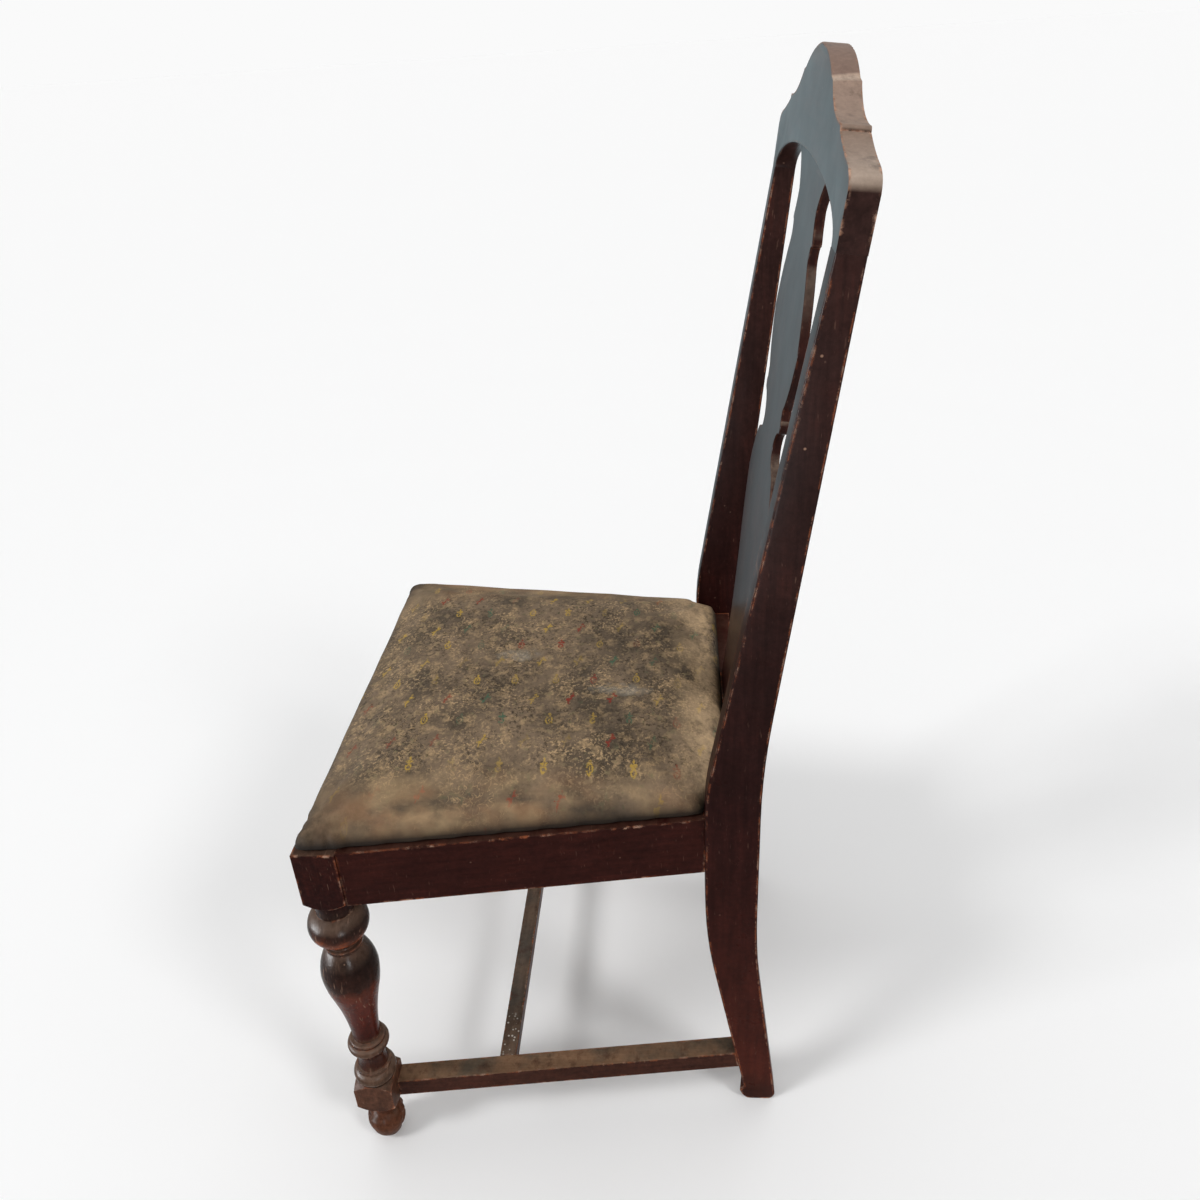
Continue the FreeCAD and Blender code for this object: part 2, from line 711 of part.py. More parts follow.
# Screws of the corner blocks, and those that hold the slip seat
block_screws = Screws()
seat_screws = Screws()
screw_level = block_low + corner_block_height / 2
seat_screw_wood = corner_block_height + cover_thickness
for side in (1, -1):
    x = block_in_x - 0.65 * corner_block_leg
    block_screws.add(V(side * x, front_rail_in, screw_level), V(0, -1, 0))
    y = block_rear_y + 0.45 * corner_block_leg
    block_screws.add(V(side * side_inner(y), y, screw_level), V(side, 0, 0))
    x = side_rear_in - 0.7 * corner_block_leg
    block_screws.add(V(side * x, rear_rail_front, screw_level), V(0, 1, 0))
    y = -0.55 * corner_block_leg
    block_screws.add(V(side * side_inner(y), y, screw_level), V(side, 0, 0))
    spots = (
        (block_in_x - 0.22 * corner_block_leg, front_rail_in + 0.3 * corner_block_leg),
        (side_rear_in - 0.3 * corner_block_leg, rear_rail_front - 0.4 * corner_block_leg),
    )
    for x, y in spots:
        spot = V(side * x, y, frame_bottom)
        seat_screws.add(spot, V(0, 0, 1), wood=seat_screw_wood, bite=0.7 * frame_thickness)

# Drill the joints
for joint in (crest_dowels, side_rail_dowels, rear_rail_dowels, stretcher_dowels):
    left_post = joint.drill(left_post)
crest = crest_dowels.drill(crest)
leg = stretcher_dowels.drill(side_rail_dowels.drill(front_rail_dowels.drill(leg)))
front_rail = block_screws.drill(front_rail_dowels.drill(front_rail))
rear_rail = block_screws.drill(rear_rail_dowels.drill(rear_rail))
left_rail = block_screws.drill(side_rail_dowels.drill(left_rail))
left_stretcher = stretcher_dowels.drill(left_stretcher)
cross_stretcher = stretcher_dowels.drill(cross_stretcher)
left_front_block = seat_screws.drill(block_screws.drill(left_front_block))
left_rear_block = seat_screws.drill(block_screws.drill(left_rear_block))
frame_front = seat_screws.drill(tacks.drill(frame_dowels.drill(frame_front)))
frame_rear = seat_screws.drill(tacks.drill(frame_dowels.drill(frame_rear)))
frame_left = tacks.drill(frame_dowels.drill(frame_left))
cover = seat_screws.drill(tacks.drill(cover))

# Write one file for each piece
pairs = {
    "rear_post": left_post,
    "front_leg": leg,
    "seat_rail": left_rail,
    "side_stretcher": left_stretcher,
    "front_corner_block": left_front_block,
    "rear_corner_block": left_rear_block,
    "seat_frame_rail": frame_left,
}
for name, shape in pairs.items():
    save("left_" + name, shape)
    save("right_" + name, other_side(shape))
singles = {
    "crest_rail": crest,
    "back_splat": splat,
    "front_seat_rail": front_rail,
    "rear_seat_rail": rear_rail,
    "cross_stretcher": cross_stretcher,
    "front_seat_frame_rail": frame_front,
    "rear_seat_frame_rail": frame_rear,
    "seat_burlap": burlap,
    "seat_padding": padding,
    "seat_cover": cover,
}
for name, shape in singles.items():
    save(name, shape)
groups = {
    "crest_dowels": crest_dowels.pins,
    "front_rail_dowels": front_rail_dowels.pins,
    "side_rail_dowels": side_rail_dowels.pins,
    "rear_rail_dowels": rear_rail_dowels.pins,
    "stretcher_dowels": stretcher_dowels.pins,
    "seat_frame_dowels": frame_dowels.pins,
    "corner_block_screws": block_screws.pins,
    "slip_seat_screws": seat_screws.pins,
    "cover_tacks": tacks.pins,
    "lengthwise_webbing": lengthwise,
    "crosswise_webbing": crosswise,
}
for name, shapes in groups.items():
    save(name, *shapes)
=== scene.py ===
import bpy
import math
from mathutils import Matrix, Vector, noise


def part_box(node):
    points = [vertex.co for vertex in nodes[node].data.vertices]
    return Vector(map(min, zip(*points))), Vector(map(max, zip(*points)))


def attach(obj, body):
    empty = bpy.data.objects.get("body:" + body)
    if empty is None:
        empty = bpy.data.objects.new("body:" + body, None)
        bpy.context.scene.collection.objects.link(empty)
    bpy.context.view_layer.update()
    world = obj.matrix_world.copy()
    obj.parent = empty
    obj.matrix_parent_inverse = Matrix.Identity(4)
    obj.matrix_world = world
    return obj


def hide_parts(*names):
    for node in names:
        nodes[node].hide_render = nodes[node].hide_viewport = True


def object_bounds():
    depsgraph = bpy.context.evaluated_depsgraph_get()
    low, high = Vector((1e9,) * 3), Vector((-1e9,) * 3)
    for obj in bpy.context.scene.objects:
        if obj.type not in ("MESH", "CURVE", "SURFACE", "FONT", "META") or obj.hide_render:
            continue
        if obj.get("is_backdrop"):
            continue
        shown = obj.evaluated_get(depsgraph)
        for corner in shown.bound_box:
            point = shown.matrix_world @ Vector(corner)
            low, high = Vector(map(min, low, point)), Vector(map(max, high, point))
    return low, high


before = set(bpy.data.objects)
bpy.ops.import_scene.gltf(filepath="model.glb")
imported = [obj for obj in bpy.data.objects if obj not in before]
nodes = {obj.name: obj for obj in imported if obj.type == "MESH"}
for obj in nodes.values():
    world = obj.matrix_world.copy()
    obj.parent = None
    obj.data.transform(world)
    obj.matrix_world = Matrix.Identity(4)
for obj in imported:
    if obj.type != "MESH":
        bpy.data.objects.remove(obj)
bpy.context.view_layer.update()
print("frame loaded,", len(nodes), "CAD nodes")


def deselect():
    if bpy.context.object and bpy.context.object.mode != "OBJECT":
        bpy.ops.object.mode_set(mode="OBJECT")
    bpy.ops.object.select_all(action="DESELECT")


def pick(piece):
    deselect()
    piece.select_set(True)
    bpy.context.view_layer.objects.active = piece


def applyModifier(piece, modifier):
    pick(piece)
    bpy.ops.object.modifier_apply(modifier=modifier.name)


def mergedCopy(nodeName, newName):
    pick(nodes[nodeName])
    bpy.ops.object.duplicate()
    piece = bpy.context.object
    piece.name = newName
    piece.data.name = newName
    piece.parent = None
    for key in list(piece.keys()):  # the copy is no CAD node any more
        del piece[key]
    bpy.ops.mesh.customdata_custom_splitnormals_clear()
    bpy.ops.object.mode_set(mode="EDIT")
    bpy.ops.mesh.select_all(action="SELECT")
    bpy.ops.mesh.remove_doubles(threshold=0.00002)
    bpy.ops.object.mode_set(mode="OBJECT")
    return piece


def normalsOf(piece):
    return [v.normal.copy() for v in piece.data.vertices]


def give(piece, material):
    piece.data.materials.clear()
    piece.data.materials.append(material)


def settle(piece, slotName, *standsFor):
    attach(piece, "root")
    if standsFor:
        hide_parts(*standsFor)


# shader helpers
def startMaterial(name):
    material = bpy.data.materials.new(name)
    material.use_nodes = True
    tree = material.node_tree
    tree.nodes.clear()
    return material, tree


def add(tree, kind, inputs=None, **settings):
    node = tree.nodes.new(kind)
    for key, value in settings.items():
        setattr(node, key, value)
    for key, value in (inputs or {}).items():
        if isinstance(value, bpy.types.NodeSocket):
            tree.links.new(value, node.inputs[key])
        else:
            node.inputs[key].default_value = value
    return node


def paint(red, green, blue):  # 0 to 255 each, as a colour picker shows it
    parts = [c / 255 for c in (red, green, blue)]
    return tuple(c / 12.92 if c < 0.04 else ((c + 0.055) / 1.055) ** 2.4 for c in parts) + (1.0,)


def number(tree, operation, first, second=0.0):
    return add(tree, "ShaderNodeMath", {0: first, 1: second}, operation=operation).outputs[0]


def times(tree, first, *others):
    for other in others:
        first = number(tree, "MULTIPLY", first, other)
    return first


def span(tree, value, low, high, toLow=0.0, toHigh=1.0):
    sockets = {"Value": value, "From Min": low, "From Max": high, "To Min": toLow, "To Max": toHigh}
    return add(tree, "ShaderNodeMapRange", sockets).outputs[0]


def blendColour(tree, amount, first, second, kind="MIX"):
    sockets = {0: amount, 6: first, 7: second}
    return add(tree, "ShaderNodeMix", sockets, data_type="RGBA", blend_type=kind).outputs[2]


def shaded(tree, colour, factor):  # the same colour, darker or lighter
    return add(tree, "ShaderNodeVectorMath", {0: colour, 3: factor}, operation="SCALE").outputs[0]


def cloudy(tree, where, scale, detail=4.0, roughness=0.55, distortion=0.0):
    sockets = {"Vector": where, "Scale": scale, "Detail": detail, "Roughness": roughness, "Distortion": distortion}
    return add(tree, "ShaderNodeTexNoise", sockets).outputs[0]


def placed(tree, where, scale, turn=(0.0, 0.0, 0.0), shift=(0.0, 0.0, 0.0)):
    sockets = {"Vector": where, "Location": shift, "Rotation": turn, "Scale": scale}
    return add(tree, "ShaderNodeMapping", sockets).outputs[0]


def part(tree, vector, index):  # one of x, y and z
    return add(tree, "ShaderNodeSeparateXYZ", {0: vector}).outputs[index]


def channel(tree, colour, index):  # one of red, green and blue
    return add(tree, "ShaderNodeSeparateColor", {0: colour}).outputs[index]


def away(tree, where, point):
    return add(tree, "ShaderNodeVectorMath", {0: where, 1: point}, operation="DISTANCE").outputs["Value"]


def banded(tree, value, stops):  # colours by level, stops are (level, colour)
    low, high = stops[0][0], stops[-1][0]
    ramp = add(tree, "ShaderNodeValToRGB", {0: span(tree, value, low, high)})
    elements = ramp.color_ramp.elements
    elements[0].color = paint(*stops[0][1])
    elements[1].color = paint(*stops[-1][1])
    for level, tone in stops[1:-1]:
        elements.new((level - low) / (high - low)).color = paint(*tone)
    return ramp.outputs[0]


def bumped(tree, height, strength, distance, before=None):
    sockets = {"Height": height, "Strength": strength, "Distance": distance}
    if before is not None:
        sockets["Normal"] = before
    return add(tree, "ShaderNodeBump", sockets).outputs[0]


def finishMaterial(material, tree, sockets):
    shader = add(tree, "ShaderNodeBsdfPrincipled", sockets)
    add(tree, "ShaderNodeOutputMaterial", {0: shader.outputs[0]})
    return material


# old brown varnish, rubbed through at the edges and dusty on top, with painted highlights in the crest's dust and
# painted shade in the grooves
varnish = {
    "red": (70, 28, 19), "worn": (160, 90, 58), "bare": (188, 150, 128), "scratch": (140, 108, 90),
    "speck": (196, 188, 178), "grime": (22, 13, 11), "edgeReach": 0.0045, "grooveReach": 0.011, "jointFade": 0.004,
    "spotSize": (0.0013, 0.0006), "relief": 0.0006, "grainScale": 5.0, "streakScale": 3.0, "patchScale": 14.0,
    "mottleScale": 170.0, "scratchStretch": (9.0, 420.0, 70.0), "stretchScale": 16.0, "chipScale": 110.0,
    "rubScale": 55.0, "wornScale": 150.0, "nickScale": 150.0, "spatterScale": 300.0, "dentScale": 210.0,
}
grainStretch = {"X": (1.5, 30.0, 30.0), "Y": (30.0, 1.5, 30.0), "Z": (30.0, 30.0, 1.5)}
postTones = [(0.0, (50, 24, 17)), (0.05, (65, 26, 17)), (0.25, (52, 21, 16)), (0.45, (37, 16, 14)),
             (0.7, (45, 26, 23)), (0.936, (49, 31, 28))]
legTones = [
    (0.0, (64, 42, 33)), (0.02, (82, 51, 36)), (0.045, (78, 46, 32)), (0.058, (54, 33, 26)),
    (0.066, (78, 50, 37)), (0.098, (80, 51, 38)), (0.103, (88, 68, 55)), (0.118, (78, 56, 44)),
    (0.125, (58, 31, 23)), (0.143, (54, 29, 22)), (0.15, (82, 62, 50)), (0.16, (78, 56, 45)),
    (0.168, (54, 18, 10)), (0.2, (68, 21, 10)), (0.232, (74, 25, 12)), (0.246, (80, 36, 22)),
    (0.256, (48, 27, 20)), (0.285, (36, 23, 19)), (0.294, (54, 36, 28)), (0.302, (68, 45, 34)),
    (0.306, (106, 52, 30)), (0.316, (110, 54, 30)), (0.323, (62, 35, 25)), (0.332, (42, 27, 22)),
    (0.348, (42, 28, 22)), (0.362, (36, 16, 12)), (0.37, (38, 13, 10)), (0.431, (40, 14, 10)),
]
plainTones = [(0.0, (46, 19, 15)), (1.0, (46, 19, 15))]
stretcherTones = [(0.0, (60, 34, 26)), (0.1, (60, 34, 26))]
crestDustAndHighlights = [  # dust by height with painted highlights: duller on the dome, paler bands at the steps and at the shoulder's round where light catches them
    (0.97, (98, 76, 64)), (0.975, (146, 128, 114)), (0.981, (174, 156, 141)), (0.99, (150, 131, 117)),
    (1.0, (137, 117, 103)), (1.006, (148, 127, 113)), (1.02, (152, 130, 116)), (1.0262, (158, 135, 120)),
    (1.0275, (190, 168, 150)), (1.0296, (184, 160, 142)), (1.031, (132, 109, 97)), (1.05, (134, 111, 99)),
]
finishes = {
    "posts": {"grain": "Z", "tones": postTones, "wear": 1.25, "dust": 0.3, "dustAndHighlightTone": (120, 96, 84),
              "nicks": 0.1, "rub": 2.2, "rubReach": 0.05, "jointBelow": 0.927,
              "spots": [(0.2195, 0.2104, 0.8688), (0.2155, 0.2026, 0.8011)]},
    # the splat's dust is greyed so that it also paints the grey reflection on its edges: partly dust, partly painted
    # reflection
    "splat": {"grain": "Z", "tones": [(0.4, (46, 24, 20)), (1.0, (46, 26, 23))], "wear": 0.35, "dust": 0.55,
              "dustAndHighlightTone": (132, 116, 102), "dustFrom": 0.3, "gloss": 0.043, "grainDepth": 0.015, "roughVary": 0.02,
              "scratches": 0.1, "nicks": 0.1},
    "crest": {"grain": "X", "tones": [(0.9, (46, 28, 25)), (1.05, (52, 34, 30))], "wear": 1.5, "dust": 0.92,
              "dustAndHighlightTone": crestDustAndHighlights, "dustFrom": 0.15, "dustEven": 0.12, "dustScale": 40.0, "gloss": 0.05,
              "grainDepth": 0.015, "roughVary": 0.02, "scratches": 0.12, "nicks": 0.15, "rub": 1.2,
              "worn": (142, 104, 84), "jointAbove": 0.9395},
    "crossRail": {"grain": "X", "tones": plainTones, "wear": 1.0, "dust": 0.3, "dustAndHighlightTone": (92, 68, 56),
                  "nicks": 0.12, "rub": 0.7},
    "sideRail": {"grain": "Y", "tones": plainTones, "wear": 1.0, "dust": 0.3, "dustAndHighlightTone": (92, 68, 56),
                 "nicks": 0.12, "rub": 0.7},
    "sideStretcher": {"grain": "Y", "tones": stretcherTones, "wear": 0.9, "dust": 0.92, "dustAndHighlightTone": (122, 94, 72),
                      "greyDust": (84, 74, 62), "dustScale": 60.0, "dustEven": 0.1, "mottled": 1.5},
    "crossStretcher": {"grain": "X", "tones": stretcherTones, "wear": 0.9, "dust": 0.92, "dustAndHighlightTone": (104, 86, 72),
                       "greyDust": (82, 74, 66), "dustScale": 60.0, "dustEven": 0.1, "mottled": 1.5,
                       "spatter": ((0.156, -0.088, 0.0815), 0.03)},
    "legBlocks": {"grain": "Z", "tones": legTones, "wear": 1.0, "dust": 0.35, "dustAndHighlightTone": (118, 96, 80),
                  "roughness": 0.36, "scratches": 0.4, "scratchFrom": 0.66, "crevices": 0.9, "dents": 0.4,
                  "mottled": 2.2},
    "turned": {"grain": "Z", "tones": legTones, "wear": 0.9, "dust": 0.6, "dustAndHighlightTone": (112, 90, 76), "dustFrom": 0.3,
               "dustEven": 0.06, "gloss": 0.04, "roughness": 0.2, "scratches": 0.6, "scratchFrom": 0.65,
               "crevices": 0.95, "dents": 0.6, "mottled": 1.8},
}


def varnishedWood(name, finish):
    material, tree = startMaterial(name)
    where = add(tree, "ShaderNodeTexCoord").outputs["Object"]
    facing = add(tree, "ShaderNodeNewGeometry").outputs["Normal"]
    alongGrain = placed(tree, where, grainStretch[finish["grain"]])
    grain = cloudy(tree, alongGrain, varnish["grainScale"], 7.0, 0.62, 0.4)
    patches = cloudy(tree, where, varnish["patchScale"], 5.0, 0.6)
    level = part(tree, where, 2)
    # the tone changes with the height, along ragged borders
    shift = span(tree, cloudy(tree, where, 60.0, 4.0, 0.65), 0.0, 1.0, -0.009, 0.009)
    broad = span(tree, cloudy(tree, where, 24.0, 3.0, 0.6), 0.0, 1.0, -0.02, 0.02)
    shifted = number(tree, "ADD", number(tree, "ADD", level, shift), broad)
    colour = banded(tree, shifted, finish["tones"])
    mottle = cloudy(tree, where, varnish["mottleScale"], 4.0, 0.7)
    colour = shaded(tree, colour, span(tree, grain, 0.32, 0.66, 0.72, 1.18))
    colour = shaded(tree, colour, span(tree, patches, 0.3, 0.7, 0.75, 1.22))
    strength = finish.get("mottled", 1.0)
    colour = shaded(tree, colour, span(tree, mottle, 0.35, 0.68, 1 - 0.14 * strength, 1 + 0.2 * strength))
    redder = times(tree, span(tree, patches, 0.5, 0.8), span(tree, grain, 0.45, 0.7), 0.6)
    colour = blendColour(tree, redder, colour, paint(*varnish["red"]))
    # fine scratches that run many ways
    scratchFrom = finish.get("scratchFrom", 0.68)
    lines = [cloudy(tree, placed(tree, where, varnish["scratchStretch"], turn), 1.0, 2.0)
             for turn in ((0.5, 0.9, 0.35), (-0.8, 0.3, 1.2))]
    scratches = number(tree, "MAXIMUM", *[span(tree, line, scratchFrom, scratchFrom + 0.06) for line in lines])
    scratches = times(tree, scratches, span(tree, patches, 0.42, 0.6), finish.get("scratches", 0.2))
    colour = blendColour(tree, scratches, colour, paint(*varnish["scratch"]))
    # dust that lies on what faces up; on the crest its colour by height also holds painted highlights at the steps and
    # the shoulder's round
    rounded = add(tree, "ShaderNodeBevel", {"Radius": varnish["edgeReach"]}, samples=8).outputs[0]
    nearby = number(tree, "SUBTRACT", part(tree, rounded, 2), 0.3)
    upward = number(tree, "MAXIMUM", part(tree, facing, 2), nearby)
    start = finish.get("dustFrom", 0.55)
    even = finish.get("dustEven", 0.0)
    drift = span(tree, cloudy(tree, where, finish.get("dustScale", 50.0), 6.0, 0.7), 0.3 - even, 0.58 - even)
    settledDustAndHighlight = times(tree, span(tree, upward, start, start + 0.4), drift, finish["dust"])
    dustAndHighlightTone = finish["dustAndHighlightTone"]
    # the crest's paler bands by height are painted highlights
    dustAndHighlightColour = banded(tree, level, dustAndHighlightTone) if isinstance(dustAndHighlightTone, list) else paint(*dustAndHighlightTone)[:3]
    if "greyDust" in finish:  # lies in long streaks, browner and greyer by turns
        streaks = cloudy(tree, alongGrain, varnish["streakScale"], 6.0, 0.65)
        dustAndHighlightColour = blendColour(tree, span(tree, patches, 0.42, 0.6), paint(*dustAndHighlightTone), paint(*finish["greyDust"]))
        dustAndHighlightColour = shaded(tree, dustAndHighlightColour, span(tree, streaks, 0.35, 0.65, 0.8, 1.2))
    dustAndHighlightColour = shaded(tree, dustAndHighlightColour, span(tree, mottle, 0.3, 0.7, 0.86, 1.14))
    colour = blendColour(tree, settledDustAndHighlight, colour, dustAndHighlightColour)
    # rubbed arrises: a fine pale line, with broken chips beside it
    same = add(tree, "ShaderNodeVectorMath", {0: rounded, 1: facing}, operation="DOT_PRODUCT").outputs["Value"]
    stretches = span(tree, cloudy(tree, where, varnish["stretchScale"], 4.0, 0.6), 0.42, 0.6)
    broken = span(tree, cloudy(tree, where, varnish["chipScale"], 5.0, 0.7), 0.5, 0.58)
    chips = times(tree, span(tree, same, 0.99, 0.9), broken, stretches)
    rubReach = finish.get("rubReach", 0.0)
    uneven = span(tree, cloudy(tree, where, varnish["rubScale"], 6.0, 0.75), 0.46, 0.58)
    rubLine = times(tree, span(tree, same, 0.93 + rubReach, 0.86 + rubReach), uneven, 0.7 * finish.get("rub", 1.0))
    rubbed = times(tree, number(tree, "MAXIMUM", chips, rubLine), finish["wear"])
    for joint, fade in (("jointBelow", -varnish["jointFade"]), ("jointAbove", varnish["jointFade"])):
        if joint in finish:  # a joint between two pieces isn't rubbed
            rubbed = times(tree, rubbed, span(tree, level, finish[joint], finish[joint] + fade))
    wornTone = blendColour(tree, span(tree, cloudy(tree, where, varnish["wornScale"], 3.0), 0.48, 0.62),
                           paint(*finish.get("worn", varnish["worn"])), paint(*varnish["bare"]))
    colour = blendColour(tree, rubbed, colour, wornTone)
    # small nicks away from the edges
    cells = add(tree, "ShaderNodeTexVoronoi", {"Vector": where, "Scale": varnish["nickScale"]})
    chosen = span(tree, channel(tree, cells.outputs["Color"], 0), 0.972, 0.978)
    nicks = times(tree, span(tree, cells.outputs["Distance"], 0.18, 0.1), chosen, finish.get("nicks", 0.4))
    colour = blendColour(tree, nicks, colour, paint(*varnish["bare"]))
    if "crevices" in finish:  # darker in the grooves, where ambient occlusion finds them sheltered: partly old grime, partly painted shade
        shelter = add(tree, "ShaderNodeAmbientOcclusion", {"Distance": varnish["grooveReach"]},
                      samples=8, only_local=True).outputs["AO"]
        grimeAndShade = span(tree, shelter, 0.86, 0.42, 0.0, finish["crevices"])
        colour = blendColour(tree, grimeAndShade, colour, paint(*varnish["grime"]))
    # single spots and spatter
    for spot in finish.get("spots", ()):
        onSpot = span(tree, away(tree, where, spot), *varnish["spotSize"])
        colour = blendColour(tree, onSpot, colour, paint(*varnish["scratch"]))
    if "spatter" in finish:
        centre, spread = finish["spatter"]
        drops = add(tree, "ShaderNodeTexVoronoi", {"Vector": where, "Scale": varnish["spatterScale"]})
        few = span(tree, channel(tree, drops.outputs["Color"], 1), 0.7, 0.72)
        size = span(tree, channel(tree, drops.outputs["Color"], 2), 0.0, 1.0, 0.15, 0.5)
        hit = times(tree, span(tree, number(tree, "SUBTRACT", drops.outputs["Distance"], size), 0.05, -0.05), few)
        hit = times(tree, hit, span(tree, away(tree, where, centre), spread, 0.6 * spread))
        colour = blendColour(tree, hit, colour, paint(*varnish["speck"]))
    smooth = finish.get("roughness", 0.3)
    vary = finish.get("roughVary", 0.08)
    roughness = span(tree, cloudy(tree, where, 30.0, 4.0), 0.3, 0.7, smooth - vary / 2, smooth + vary)
    roughness = number(tree, "ADD", roughness, number(tree, "MULTIPLY", rubbed, 0.3))
    roughness = number(tree, "ADD", roughness, number(tree, "MULTIPLY", settledDustAndHighlight, 0.35))
    relief = varnish["relief"]
    normal = bumped(tree, grain, finish.get("grainDepth", 0.1), relief)
    if "dents" in finish:
        normal = bumped(tree, cloudy(tree, where, varnish["dentScale"], 3.0, 0.6), finish["dents"], relief, normal)
    unhurt = number(tree, "SUBTRACT", 1.0, number(tree, "MAXIMUM", rubbed, nicks))
    normal = bumped(tree, unhurt, 0.35, relief, normal)
    return finishMaterial(material, tree, {"Base Color": colour, "Roughness": roughness, "Normal": normal,
                                           "Specular IOR Level": finish.get("gloss", 0.025)})


woods = {name: varnishedWood("varnished_wood_" + name, finish) for name, finish in finishes.items()}
print("varnish mixed")

# boards with softened arrises, each a copy of its solid
boards = {
    "left_rear_post": ("posts", 0.0006), "right_rear_post": ("posts", 0.0006),
    "back_splat": ("splat", 0.0009), "crest_rail": ("crest", 0.0011),
    "front_seat_rail": ("crossRail", 0.0012), "rear_seat_rail": ("crossRail", 0.0012),
    "left_seat_rail": ("sideRail", 0.0012), "right_seat_rail": ("sideRail", 0.0012),
    "left_side_stretcher": ("sideStretcher", 0.0015), "right_side_stretcher": ("sideStretcher", 0.0015),
    "cross_stretcher": ("crossStretcher", 0.0015),
    "left_front_leg": ("turned", 0.0009), "right_front_leg": ("turned", 0.0009),
}
edges = {"flatWithin": 0.4, "smoothWithin": 32, "sharpBeyond": 40, "segments": 2}  # angles in degrees
postToe = {
    "levels": (0.004, 0.009, 0.014, 0.0175, 0.0195), "top": 0.0195, "out": 0.0022, "lip": 0.004,
    "sole": 0.35, "soleRise": 0.012, "innerSide": -0.6,
}
wornFoot = {"below": 0.052, "fade": 0.012, "depth": 0.0065, "scale": 95.0, "from": 0.05}
legBlockLevels = [(0.0, 0.1005), (0.362, 0.44)]  # the foot and the two square blocks are duller than the turning


def wearToe(post):  # the toe stands proud of the ankle, most on its outer side
    bpy.ops.object.mode_set(mode="EDIT")
    for level in postToe["levels"]:
        bpy.ops.mesh.select_all(action="SELECT")
        bpy.ops.mesh.bisect(plane_co=(0.0, 0.0, level), plane_no=(0.0, 0.0, 1.0))
    bpy.ops.object.mode_set(mode="OBJECT")
    foot = [v for v in post.data.vertices if v.co.z < postToe["top"]]
    middle = sum(v.co.y for v in foot) / len(foot)
    inner, outer = min(abs(v.co.x) for v in foot), max(abs(v.co.x) for v in foot)
    for v in foot:
        if v.co.y < middle:
            share = (abs(v.co.x) - inner) / (outer - inner)
            lip = min(1.0, (postToe["top"] - v.co.z) / postToe["lip"], postToe["sole"] + v.co.z / postToe["soleRise"])
            v.co.y -= postToe["out"] * (postToe["innerSide"] + (1 - postToe["innerSide"]) * share) * lip


def wearFoot(leg):  # knocked and chewed, but not at the neck, nor where it stands
    for v, normal in zip(leg.data.vertices, normalsOf(leg)):
        if v.co.z < wornFoot["below"]:
            ends = min(wornFoot["below"] - v.co.z, v.co.z)
            depth = wornFoot["depth"] * min(1.0, ends / wornFoot["fade"])
            v.co += normal * depth * min(0.0, noise.noise(v.co * wornFoot["scale"]) - wornFoot["from"])


for nodeName, (wood, width) in boards.items():
    board = mergedCopy(nodeName, nodeName + "_worn")
    bpy.ops.object.mode_set(mode="EDIT")
    bpy.ops.mesh.select_all(action="SELECT")
    bpy.ops.mesh.dissolve_limited(angle_limit=math.radians(edges["flatWithin"]))
    bpy.ops.object.mode_set(mode="OBJECT")
    if wood == "posts":
        wearToe(board)
    bpy.ops.object.shade_smooth_by_angle(angle=math.radians(edges["smoothWithin"]))
    arris = board.modifiers.new("arris", "BEVEL")
    arris.width = width
    arris.segments = edges["segments"]
    arris.limit_method = "ANGLE"
    arris.angle_limit = math.radians(edges["sharpBeyond"])
    arris.harden_normals = True
    applyModifier(board, arris)
    give(board, woods[wood])
    if wood == "turned":
        wearFoot(board)
        board.data.materials.append(woods["legBlocks"])
        for face in board.data.polygons:
            inBlock = any(low < face.center.z < high for low, high in legBlockLevels)
            face.material_index = 1 if inBlock else 0
    settle(board, "stained_wood", nodeName)
print("boards and legs dressed")

# bare joinery wood, steel, and what is under the seat
joinery = {"pale": (168, 132, 92), "brown": (120, 86, 54), "grime": (74, 56, 40)}


def joineryWood(name, grainAlong):
    material, tree = startMaterial(name)
    where = add(tree, "ShaderNodeTexCoord").outputs["Object"]
    stretch = {"X": (2.0, 40.0, 40.0), "Y": (40.0, 2.0, 40.0)}[grainAlong]
    grain = cloudy(tree, placed(tree, where, stretch), 4.0, 6.0, 0.6, 0.5)
    colour = blendColour(tree, span(tree, grain, 0.35, 0.65), paint(*joinery["brown"]), paint(*joinery["pale"]))
    dirt = span(tree, cloudy(tree, where, 18.0, 4.0), 0.5, 0.75, 0.0, 0.7)
    colour = blendColour(tree, dirt, colour, paint(*joinery["grime"]))
    roughness = span(tree, grain, 0.3, 0.7, 0.6, 0.8)
    return finishMaterial(material, tree, {"Base Color": colour, "Roughness": roughness, "Specular IOR Level": 0.2,
                                           "Normal": bumped(tree, grain, 0.25, 0.0008)})


fastenings = {"metal": (150, 147, 142), "rust": (96, 66, 46), "rustScale": 400.0}


def dullSteel(name):
    material, tree = startMaterial(name)
    where = add(tree, "ShaderNodeTexCoord").outputs["Object"]
    spots = cloudy(tree, where, fastenings["rustScale"], 4.0)
    colour = blendColour(tree, span(tree, spots, 0.5, 0.65), paint(*fastenings["metal"]), paint(*fastenings["rust"]))
    roughness = span(tree, spots, 0.4, 0.7, 0.35, 0.75)
    return finishMaterial(material, tree, {"Base Color": colour, "Roughness": roughness, "Metallic": 0.9})


